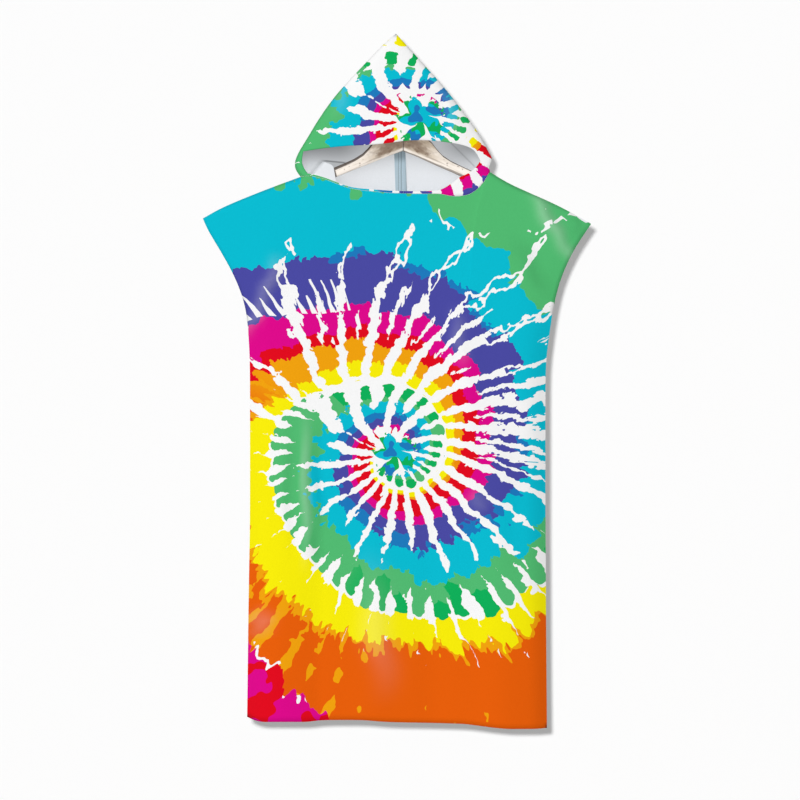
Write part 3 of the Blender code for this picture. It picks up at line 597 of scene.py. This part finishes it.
BACK_CREASES = (
    Crease(0.240, -0.200, 0.285, -0.290, 0.0036, 0.022, 0.35),
    Crease(-0.235, -0.215, -0.290, -0.330, 0.0034, 0.022, 0.35),
    Crease(-0.215, -0.310, -0.262, -0.402, -0.0030, 0.024, 0.40),
    Crease(0.150, -0.420, 0.168, -0.640, 0.0024, 0.022, 0.35),
    Crease(0.185, -0.440, 0.200, -0.620, -0.0020, 0.020, 0.35),
    Crease(-0.120, -0.560, -0.112, -0.780, 0.0026, 0.020, 0.35),
    Crease(0.030, -0.700, 0.046, -0.940, -0.0020, 0.026, 0.40),
    Crease(-0.250, -0.900, -0.236, -1.090, 0.0022, 0.028, 0.40),
    Crease(0.250, -0.880, 0.262, -1.060, 0.0020, 0.026, 0.40),
)
HOOD_CREASES = (
    Crease(-0.130, -0.020, -0.100, 0.060, 0.0014, 0.020, 0.40),
    Crease(0.075, 0.020, 0.110, -0.060, 0.0012, 0.018, 0.40),
)


def crease_height(creases, x, z, spread=1.0):
    """How far each point of a panel is moved out by its creases."""
    total = np.zeros_like(x)
    for x0, z0, x1, z1, out, width, fade in creases:
        run = np.array([x1 - x0, z1 - z0])
        length = np.hypot(*run)
        along = ((x - x0) * run[0] + (z - z0) * run[1]) / length**2
        # each crease wanders a little off its straight line
        wander = 0.18 * width * np.sin(7.0 * along + 40.0 * x0)
        off = ((x - x0) * run[1] - (z - z0) * run[0]) / length - wander
        ends = np.clip((along + fade) / (2 * fade), 0, 1) * np.clip((1 + fade - along) / (2 * fade), 0, 1)
        total += RELIEF * out * np.exp(-((off / (0.5 * width * spread)) ** 2)) * eased(ends)
    return total


def looks_out(point, normal, middle, size):
    """Whether a face of a flat hollow body looks outwards."""
    return sum((point[i] - middle[i]) / size[i] ** 2 * normal[i] for i in range(3)) > 0


def keep_rims(work):
    """Marks a cloth's rims and their corners, so that they stay where they are when it is rounded."""
    crease = work.edges.layers.float.get("crease_edge") or work.edges.layers.float.new("crease_edge")
    corner = work.verts.layers.float.get("crease_vert") or work.verts.layers.float.new("crease_vert")
    work.normal_update()
    for edge in work.edges:
        if len(edge.link_faces) == 2 and edge.calc_face_angle(0.0) > RIM_ANGLE:
            edge[crease] = 1.0
    for vert in work.verts:
        rim = [e for e in vert.link_edges if e[crease] > 0.5]
        if len(rim) > 2:
            vert[corner] = 1.0
        elif len(rim) == 2:
            a, b = [(e.other_vert(vert).co - vert.co).normalized() for e in rim]
            if a.dot(b) > CORNER_COSINE:
                vert[corner] = 1.0
    max(work.verts, key=lambda vert: vert.co.z)[corner] = 1.0


def rounded(name, mesh):
    """A new object with a rounded copy of the mesh."""
    work = bmesh.new()
    work.from_mesh(mesh)
    bmesh.ops.remove_doubles(work, verts=work.verts, dist=MERGE_DISTANCE)
    bmesh.ops.join_triangles(
        work, faces=work.faces, angle_face_threshold=FLAT_FACES, angle_shape_threshold=SQUARE_FACES,
        cmp_seam=False,
    )
    keep_rims(work)
    work.to_mesh(mesh)
    work.free()
    piece = bpy.data.objects.new(name, mesh)
    bpy.context.scene.collection.objects.link(piece)
    finer = piece.modifiers.new("finer", "SUBSURF")
    finer.levels = finer.render_levels = ROUNDS
    finer.boundary_smooth = "PRESERVE_CORNERS"
    bpy.context.view_layer.update()
    made = bpy.data.meshes.new_from_object(piece.evaluated_get(bpy.context.evaluated_depsgraph_get()))
    piece.modifiers.clear()
    piece.data = made
    return piece


def press_creases(mesh, creases):
    """Moves a cloth's points out or in at its creases, and keeps their painted highlight and shade as a tone.
    """
    count = len(mesh.vertices)
    co = np.zeros(count * 3)
    mesh.vertices.foreach_get("co", co)
    co = co.reshape(count, 3)
    facing = np.where(co[:, 1] < 0, -1.0, 1.0)
    co[:, 1] += facing * crease_height(creases, co[:, 0], co[:, 2])
    mesh.vertices.foreach_set("co", co.ravel())
    # the creases get a painted highlight along the ridges, and painted shade in the troughs
    painted_light_and_tone = crease_height(creases, co[:, 0], co[:, 2], PAINTED_LIGHT_SPREAD) / (RELIEF * PAINTED_LIGHT_HEIGHT)
    mesh.attributes.new("painted_crease_light", "FLOAT", "POINT").data.foreach_set("value", painted_light_and_tone.astype(np.float32))


def smooth_cloth(name, node, middle, size, creases, materials):
    """A rounded copy of a CAD cloth with its creases; its rims stay where they are."""
    mesh = frame["nodes"][node].data.copy()
    mesh.name = name
    piece = rounded(name, mesh)
    made = piece.data
    made.name = name
    made.materials.clear()
    for material in materials:
        made.materials.append(material)
    for face in made.polygons:
        face.material_index = 0 if looks_out(face.center, face.normal, middle, size) else INSIDE_SLOT
    press_creases(made, creases)
    made.shade_smooth()
    made.set_sharp_from_angle(angle=SHARP_ANGLE)
    made.update()
    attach(piece, "root")
    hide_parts(node)
    return piece


# The slack cloth inside the hood's left side, in front of the arm: its free edge, from the bottom
# up and then back along its top.
FreeEdge = namedtuple("FreeEdge", "z right")
FOLD_EDGE = (
    FreeEdge(-0.1680, -0.1312),
    FreeEdge(-0.1620, -0.1316),
    FreeEdge(-0.1520, -0.1326),
    FreeEdge(-0.1420, -0.1344),
    FreeEdge(-0.1340, -0.1357),
    FreeEdge(-0.1300, -0.1372),
    FreeEdge(-0.1268, -0.1400),
    FreeEdge(-0.1240, -0.1455),
    FreeEdge(-0.1212, -0.1535),
    FreeEdge(-0.1195, -0.1600),
)
FOLD_FRONT = -0.0069  # just in front of the arm
FOLD_LEFT = -0.1970
FOLD_HALF = 0.0004  # half the cloth's thickness here
FOLD_COLUMNS = 16
FOLD_STEPS = 4  # rows made from each row of the table
FOLD_GATHER = 1.2  # above 1, the columns are closer together near the free edge
# The hood's wall behind the fold: flat up to where it bends, and then coming forward
HOOD_WALL = 0.0102
HOOD_WALL_BEND = -0.153
HOOD_WALL_SLOPE = 0.085
# Where the fold runs back to that wall, at one height, and how this place leans and how wide it is
RUN_BACK_AT = -0.176
RUN_BACK_HEIGHT = -0.150
RUN_BACK_LEAN = 0.9
RUN_BACK_WIDTH = 0.018


def fold_depth(x, z):
    """How far back the middle of the slack fold lies."""
    wall = HOOD_WALL - HOOD_WALL_SLOPE * max(0.0, HOOD_WALL_BEND - x) + FOLD_HALF
    back = ((RUN_BACK_AT - x) + RUN_BACK_LEAN * (z - RUN_BACK_HEIGHT)) / RUN_BACK_WIDTH
    back = eased(min(1.0, max(0.0, back)))
    ripple = 0.0003 * math.sin(90.0 * (x + 0.6 * z))
    return FOLD_FRONT + (wall - FOLD_FRONT) * back + ripple * back * (1 - back) * 4


def fold_grid(shell, edge, way):
    """One side of the slack fold, as rows of points."""
    grid = []
    for z, right in edge:
        row = []
        for column in range(FOLD_COLUMNS + 1):
            x = right + (FOLD_LEFT - right) * (column / FOLD_COLUMNS) ** FOLD_GATHER
            row.append(shell.verts.new((x, fold_depth(x, z) + way * FOLD_HALF, z)))
        grid.append(row)
    return grid


def add_slack_fold(hood):
    """A thin fold of the hood's own cloth that lies over the left arm and runs back to its wall."""
    edge = []
    for (z0, r0), (z1, r1) in zip(FOLD_EDGE, FOLD_EDGE[1:]):
        for step in range(FOLD_STEPS):
            t = step / FOLD_STEPS
            edge.append((z0 + (z1 - z0) * t, r0 + (r1 - r0) * t))
    edge.append(FOLD_EDGE[-1])
    shell = bmesh.new()
    front, rear = [fold_grid(shell, edge, way) for way in (-1, 1)]
    for i in range(len(edge) - 1):
        for j in range(FOLD_COLUMNS):
            shell.faces.new((front[i][j], front[i + 1][j], front[i + 1][j + 1], front[i][j + 1]))
            shell.faces.new((rear[i][j], rear[i][j + 1], rear[i + 1][j + 1], rear[i + 1][j]))
    for i in range(len(edge) - 1):
        shell.faces.new((front[i][0], rear[i][0], rear[i + 1][0], front[i + 1][0]))
        shell.faces.new((front[i + 1][-1], rear[i + 1][-1], rear[i][-1], front[i][-1]))
    for j in range(FOLD_COLUMNS):
        shell.faces.new((front[0][j + 1], rear[0][j + 1], rear[0][j], front[0][j]))
        shell.faces.new((front[-1][j], rear[-1][j], rear[-1][j + 1], front[-1][j + 1]))
    bmesh.ops.recalc_face_normals(shell, faces=shell.faces)
    for face in shell.faces:
        face.material_index = INSIDE_SLOT
        face.smooth = True
    shell.from_mesh(hood.data)
    shell.to_mesh(hood.data)
    shell.free()
    hood.data.set_sharp_from_angle(angle=SHARP_ANGLE)


# ---- materials ----
BODY_CENTRE = (-0.018, -0.690)  # of the spiral on the front and the back
HOOD_CENTRE = (0.0322, -0.0371)
FIBRES = 1400.0  # the scale of the pile's noise, and of its tufts
TUFTS = 260.0
PILE = 0.0006  # height of the bumps in the towelling
TAPE_PILE = 0.0004

# Lines on the hood's inside, from one end to the other, where shade is painted: a fold at the right and a
# pull at the left
Line = namedtuple("Line", "x0 z0 x1 z1")
FOLD_LINE = Line(0.0985, -0.0897, 0.1375, -0.1287)
PULL_LINE = Line(-0.160, -0.1180, -0.112, -0.1225)

# The dark ribs that show along the seam tape
Rib = namedtuple("Rib", "at half depth")
TAPE_RIBS = (
    Rib(-0.0095, 0.0012, 0.30),
    Rib(-0.0043, 0.0015, 0.34),
    Rib(0.0012, 0.0010, 0.14),
    Rib(0.0052, 0.0016, 0.38),
)
TAPE_MIDDLE = -0.0043
STITCH_ROW = 0.0034  # from the tape's middle to each row of stitches
STITCH_HALF = 0.00035
STITCH_PITCH = 0.0034
THREAD_PITCH = 0.0012

# The hanger's arm, by how far out from its middle: its upper and lower edges
Arm = namedtuple("Arm", "out top bottom")
ARM_EDGES = (
    Arm(0.000, -0.0660, -0.1000),
    Arm(0.030, -0.0675, -0.1114),
    Arm(0.046, -0.0722, -0.1184),
    Arm(0.057, -0.0815, -0.1232),
    Arm(0.067, -0.0945, -0.1274),
    Arm(0.078, -0.1060, -0.1318),
    Arm(0.094, -0.1165, -0.1382),
    Arm(0.115, -0.1263, -0.1472),
    Arm(0.135, -0.1352, -0.1557),
    Arm(0.162, -0.1445, -0.1652),
    Arm(0.192, -0.1553, -0.1753),
    Arm(0.222, -0.1680, -0.1870),
)
ARM_LENGTH = ARM_EDGES[-1].out
ARM_DROP = 0.2  # the edges' heights are looked up as shares of this
GRAIN_RUN = 0.90  # cosine and sine of the grain's slope, down to both sides
GRAIN_DROP = 0.42
PALE_WOOD = srgb(251, 241, 230)
WOOD = srgb(203, 186, 164)
DARK_WOOD = srgb(112, 88, 66)
WOOD_LINE = srgb(58, 42, 34)


def nap(g, rough, height):
    """Short brushed pile: fine bumps. Gives the noise of its tufts, for the tone."""
    place = g.place()
    fibre = g.noise(place, FIBRES, 2.0, 0.6)
    tuft = g.noise(place, TUFTS, 2.0, 0.6)
    lift = fibre[0] * 0.6 + tuft[1] * 0.8
    bump = g.node("ShaderNodeBump", {"Strength": 0.35, "Distance": height, "Height": lift})
    g.feed(Normal=bump.outputs[0], Roughness=rough)
    g.feed(Sheen_Weight=0.02, Sheen_Roughness=0.5, Specular_IOR_Level=0.06)
    return tuft


def print_material(name, centre, **layout):
    g = Graph(bpy.data.materials.new(name))
    colour = SpiralPrint(g, centre, **layout).colour()
    tuft = nap(g, 0.92, PILE)
    painted_light_and_tone = Signal(g, g.node("ShaderNodeAttribute", attribute_name="painted_crease_light").outputs["Fac"])
    # painted light along the creases: a painted highlight towards white on the ridges
    colour = g.mix(g.math("MINIMUM", g.most(painted_light_and_tone, 0.0) * 0.16, 0.3), colour, WHITE)
    # and painted shade in the troughs
    shade = 0.94 + 0.02 * tuft[0] - 0.10 * g.most(painted_light_and_tone * -1.0, 0.0)
    g.feed(Base_Color=g.shaded(colour, shade))
    return g.owner


def lining_material(name, tone):
    g = Graph(bpy.data.materials.new(name))
    tuft = nap(g, 0.95, PILE)
    lighter = tuple(min(1.0, c * 1.03) for c in tone[:3]) + (1.0,)
    darker = tuple(c * 0.95 for c in tone[:3]) + (1.0,)
    g.feed(Base_Color=g.mix(tuft[0] * 0.5 + 0.5, darker, lighter))
    return g.owner


def off_line(g, x, z, line):
    """How far a point is to the upper side of a line, and how far along it, from 0 to 1."""
    x0, z0, x1, z1 = line
    length = math.hypot(x1 - x0, z1 - z0)
    ux, uz = (x1 - x0) / length, (z1 - z0) / length
    along = ((x - x0) * ux + (z - z0) * uz) * (1 / length)
    return (z - z0) * ux - (x - x0) * uz, along


def hood_inside_material(name, tone):
    """The pale inside of the hood, with painted shade up under the rim, painted shade along a soft fold and a
    soft pull, and a painted highlight beside the fold.
    """
    g = Graph(bpy.data.materials.new(name))
    tuft = nap(g, 0.95, PILE)
    x, y, z = g.split(g.place())
    # painted shade up under the rim
    under = g.smooth(z, -0.150, -0.088) * (0.20 + 0.40 * g.smooth(g.size(x), 0.05, 0.13))
    fold_off, fold_at = off_line(g, x, z, FOLD_LINE)
    # painted shade along the fold, and a painted highlight on its upper side
    fold = g.smooth(g.size(fold_off), 0.0024, 0.0004) * g.smooth(fold_at, 1.15, 0.95)
    pale = g.smooth(fold_off, 0.0, 0.010) * g.smooth(x, 0.04, 0.10)
    pull_off, pull_at = off_line(g, x, z, PULL_LINE)
    # painted shade along the pull, and a softer band of it below
    pull = g.smooth(g.size(pull_off), 0.0026, 0.0004) * g.smooth(pull_at, -0.10, 0.25)
    pull = pull * g.smooth(pull_at, 1.1, 0.9)
    below = g.smooth(pull_off, 0.0, -0.0040) * g.smooth(pull_off, -0.016, -0.008)
    below = below * g.smooth(pull_at, 0.2, 0.5) * g.smooth(pull_at, 1.2, 1.0)
    behind = y > 0.0
    # all this painted shade and the painted highlight lie on the wall behind
    dark = 0.55 * pull * behind + 0.22 * fold * behind + 0.16 * below * behind
    shade = (1.0 - under * behind) * (1.0 + 0.12 * pale * behind) * (1.0 - dark) * (0.99 + 0.02 * tuft[0])
    g.feed(Base_Color=g.shaded(tone[:3], shade))
    return g.owner


def seam_tape_material(name, tone):
    """Woven tape: darker ribs and two rows of stitches along it, and painted shade over its top end."""
    g = Graph(bpy.data.materials.new(name))
    tuft = nap(g, 0.9, TAPE_PILE)
    x, _, z = g.split(g.place())
    x = x + 0.0007 * g.noise(g.vector(0.0, 0.0, z * 40.0), 1.0, 1.0)[0]
    dark = 0.0
    for rib in TAPE_RIBS:
        dark = dark + rib.depth * g.smooth(g.size(x - rib.at), rib.half, 0.3 * rib.half)
    stitch = g.math("SINE", z * (2 * math.pi / STITCH_PITCH)) > -0.3
    row = g.size(g.size(x - TAPE_MIDDLE) - STITCH_ROW) < STITCH_HALF
    weave = 0.04 * g.math("SINE", z * (2 * math.pi / THREAD_PITCH))
    # painted shade at the top end, up under the hood's rim
    top = 0.42 * g.smooth(z, -0.126, -0.108)
    shade = (1.0 - top) * (1.0 - dark) * (1.0 + weave + 0.03 * tuft[0]) * (1.0 + 0.25 * stitch * row)
    g.feed(Base_Color=g.shaded(tone[:3], shade))
    return g.owner


def wood_material(name):
    """Wood with its grain along each arm: painted shade makes it darker at the middle and the top, and a
    painted highlight makes it pale along the bottom edge.
    """
    g = Graph(bpy.data.materials.new(name))
    x, y, z = g.split(g.place())
    out = g.size(x)
    left = x < 0.0
    along = out * GRAIN_RUN - z * GRAIN_DROP
    across = out * GRAIN_DROP + z * GRAIN_RUN
    grain = g.noise(g.vector(along * 14.0, y * 120.0, across * 260.0), 1.0, 3.0, 0.6)
    patch = g.noise(g.vector(along * 30.0, y * 60.0, across * 60.0), 1.0, 3.0, 0.55)
    stain = g.noise(g.vector(along * 90.0, y * 90.0, across * 150.0), 1.0, 2.0)
    speck = g.noise(g.vector(along * 110.0, y * 90.0, across * 260.0), 1.0, 2.0)

    def edge(column):
        points = [(row.out / ARM_LENGTH, getattr(row, column) * (-1 / ARM_DROP)) for row in ARM_EDGES]
        return g.curve(out * (1 / ARM_LENGTH), points) * -ARM_DROP

    from_top = edge("top") - z
    from_bottom = z - edge("bottom")
    # a painted highlight: paler wood along the bottom edge
    up = g.smooth(from_bottom, 0.001, 0.014)
    # painted shadow of the hood's rim, darker towards the middle and the top
    painted_rim_shadow = g.smooth(out, 0.100, 0.006) * up
    # the blend to darker wood carries the painted shadow together with patches and grain
    painted_light_and_tone = g.smooth(1.5 * painted_rim_shadow + 0.9 * patch[0] + 0.3 * grain[0], -0.10, 1.10)
    colour = g.mix(painted_light_and_tone, PALE_WOOD, WOOD)
    brown = 1.20 * painted_rim_shadow + 0.85 * patch[1] + 0.45 * stain[0] + 0.16 * left
    colour = g.mix(g.smooth(brown, 0.30, 1.20) * 0.85, colour, DARK_WOOD)
    colour = g.mix(g.smooth(grain[0], 0.16, 0.60) * (0.25 + 0.45 * up), colour, DARK_WOOD)
    specks = g.smooth(speck[1] + 0.9 * patch[2] + 0.20 * painted_rim_shadow, 0.36, 0.58)
    colour = g.mix(specks * 0.70, colour, DARK_WOOD)
    # dark lines: painted shade along the top and the bottom edges and beside the slack fold, and a dark joint
    # where the arms meet
    uneven = 0.0006 * stain[0]
    rim = g.smooth(from_top + uneven + 0.0026 * left, 0.0062, 0.0042)
    under = g.smooth(from_bottom + uneven, 0.0026, 0.0014)
    joint = g.smooth(out + 0.3 * uneven, 0.0015, 0.0006)
    # painted shadow of the slack fold's edge on the left arm
    end = g.smooth(x - (-0.1375 - 0.255 * (z + 0.132)), 0.0042, 0.0024) * left
    lines = g.most(g.most(rim, under * 0.7), g.most(joint * 0.8, end))
    g.feed(Base_Color=g.mix(lines * 0.92, colour, WOOD_LINE))
    lift = grain[0] + 0.5 * stain[1]
    bump = g.node("ShaderNodeBump", {"Strength": 0.5, "Distance": 0.0008, "Height": lift})
    g.feed(Normal=bump.outputs[0], Roughness=0.62 + 0.10 * patch[1])
    return g.owner


def wire_material(name, tone):
    g = Graph(bpy.data.materials.new(name))
    wear = g.noise(g.place(), 420.0, 2.0, 0.6)
    g.feed(Base_Color=tone, Metallic=1.0, Roughness=0.30 + 0.08 * wear[0])
    return g.owner


# ---- pieces ----
lining = lining_material("off_white_inside", srgb(232, 234, 238))
hood_inside = hood_inside_material("hood_inside", srgb(232, 235, 239))
front_print = print_material("front_print", BODY_CENTRE)
back_print = print_material("back_print", BODY_CENTRE, mirror=-1.0, seed=5.0)
hood_print = print_material("hood_print", HOOD_CENTRE, scale=1.09, notches=0.2, tip_pull=0.10)

front = smooth_cloth(
    "front_cloth", "front_panel", MIDDLE_OF_BODY, SIZE_OF_BODY, FRONT_CREASES, (front_print, lining),
)
back = smooth_cloth(
    "back_cloth", "back_panel", MIDDLE_OF_BODY, SIZE_OF_BODY, BACK_CREASES, (back_print, lining),
)
hood = smooth_cloth(
    "hood_cloth", "hood", MIDDLE_OF_HOOD, SIZE_OF_HOOD, HOOD_CREASES, (hood_print, hood_inside),
)
add_slack_fold(hood)

wood = wood_material("weathered_wood")
materials_of_nodes = {
    "hanger_arm_left": wood,
    "hanger_arm_right": wood,
    "hanger_hook": wire_material("plated_wire", srgb(196, 197, 200)),
    "hood_seam_tape": seam_tape_material("seam_tape_weave", srgb(176, 196, 207)),
}
for node, material in materials_of_nodes.items():
    piece = frame["nodes"][node]
    piece.data.materials.clear()
    piece.data.materials.append(material)

# ---- the room ----
WHITE_LIGHT = (1.0, 1.0, 1.0)
ROOM = 0.25
WINDOW = (-0.80, -0.42, 0.42)  # towards the brighter part of the room
WINDOW_LIGHT = 0.86
WALL = 3.0  # how far behind the garment the backdrop stands
WIDE = 14.0  # half the backdrop's width
PAPER = (0.965, 0.965, 0.965, 1.0)
# The key light comes almost straight from the front, so that the shadow on the far wall falls
# just beside the garment.
KEY = (0.0036, 1.0, -0.0041)
KEY_STRENGTH = 1.93
KEY_SPREAD = 0.18
BEHIND = (-0.35, -1.0, -0.45)
BEHIND_STRENGTH = 1.55
BEHIND_SPREAD = 20.0
CAMERA_AT = (-0.0068, -3.0, -0.585)
VIEW_HEIGHT = 1.56


def add_backdrop():
    """White paper that only the camera sees, and only from the front, so the back can be lit."""
    paper = Graph(bpy.data.materials.new("white_paper"))
    paper.feed(Base_Color=PAPER, Roughness=1.0, Specular_IOR_Level=0.0)
    camera_ray = Signal(paper, paper.node("ShaderNodeLightPath").outputs["Is Camera Ray"])
    rear = Signal(paper, paper.node("ShaderNodeNewGeometry").outputs["Backfacing"])
    clear = paper.node("ShaderNodeBsdfTransparent")
    sides = {0: camera_ray * (1.0 - rear), 1: clear.outputs[0], 2: paper.shader.outputs[0]}
    either = paper.node("ShaderNodeMixShader", sides)
    paper.put(paper.tree.nodes["Material Output"].inputs["Surface"], either.outputs[0])
    mesh = bpy.data.meshes.new("backdrop")
    corners = [(-WIDE, WALL, -WIDE), (WIDE, WALL, -WIDE), (WIDE, WALL, WIDE), (-WIDE, WALL, WIDE)]
    mesh.from_pydata(corners, [], [(0, 1, 2, 3)])
    mesh.materials.append(paper.owner)
    plane = bpy.data.objects.new("backdrop", mesh)
    bpy.context.scene.collection.objects.link(plane)


def add_sun(name, toward, strength, spread):
    light = bpy.data.lights.new(name, "SUN")
    light.energy = strength
    light.angle = math.radians(spread)
    light.color = WHITE_LIGHT
    lamp = bpy.data.objects.new(name, light)
    lamp.rotation_euler = Vector(toward).to_track_quat("-Z", "Y").to_euler()
    bpy.context.scene.collection.objects.link(lamp)


def add_room_light():
    """An even pale room, brighter up to the left; to the camera and in reflections it is white."""
    world = bpy.data.worlds.new("studio")
    bpy.context.scene.world = world
    sky = Graph(world)
    ray = sky.node("ShaderNodeTexCoord").outputs["Generated"]
    ways = {0: ray, 1: Vector(WINDOW).normalized()}
    facing = sky.node("ShaderNodeVectorMath", ways, operation="DOT_PRODUCT")
    window = sky.smooth(Signal(sky, facing.outputs["Value"]), 0.60, 0.95)
    path = sky.node("ShaderNodeLightPath")
    seen = Signal(sky, path.outputs["Is Camera Ray"])
    for kind in ("Is Glossy Ray", "Is Transmission Ray"):
        seen = sky.most(seen, Signal(sky, path.outputs[kind]))
    light = ROOM + WINDOW_LIGHT * window
    sky.feed(Color=WHITE_LIGHT + (1.0,), Strength=seen + light * (1.0 - seen))


add_backdrop()
add_sun("key", KEY, KEY_STRENGTH, KEY_SPREAD)
add_sun("behind", BEHIND, BEHIND_STRENGTH, BEHIND_SPREAD)
add_room_light()
bpy.context.scene.view_settings.view_transform = "Standard"

lens = bpy.data.cameras.new("camera")
lens.type = "ORTHO"
lens.ortho_scale = VIEW_HEIGHT
camera = bpy.data.objects.new("camera", lens)
camera.location = CAMERA_AT
camera.rotation_euler = (math.pi / 2, 0.0, 0.0)
bpy.context.scene.collection.objects.link(camera)
bpy.context.scene.camera = camera
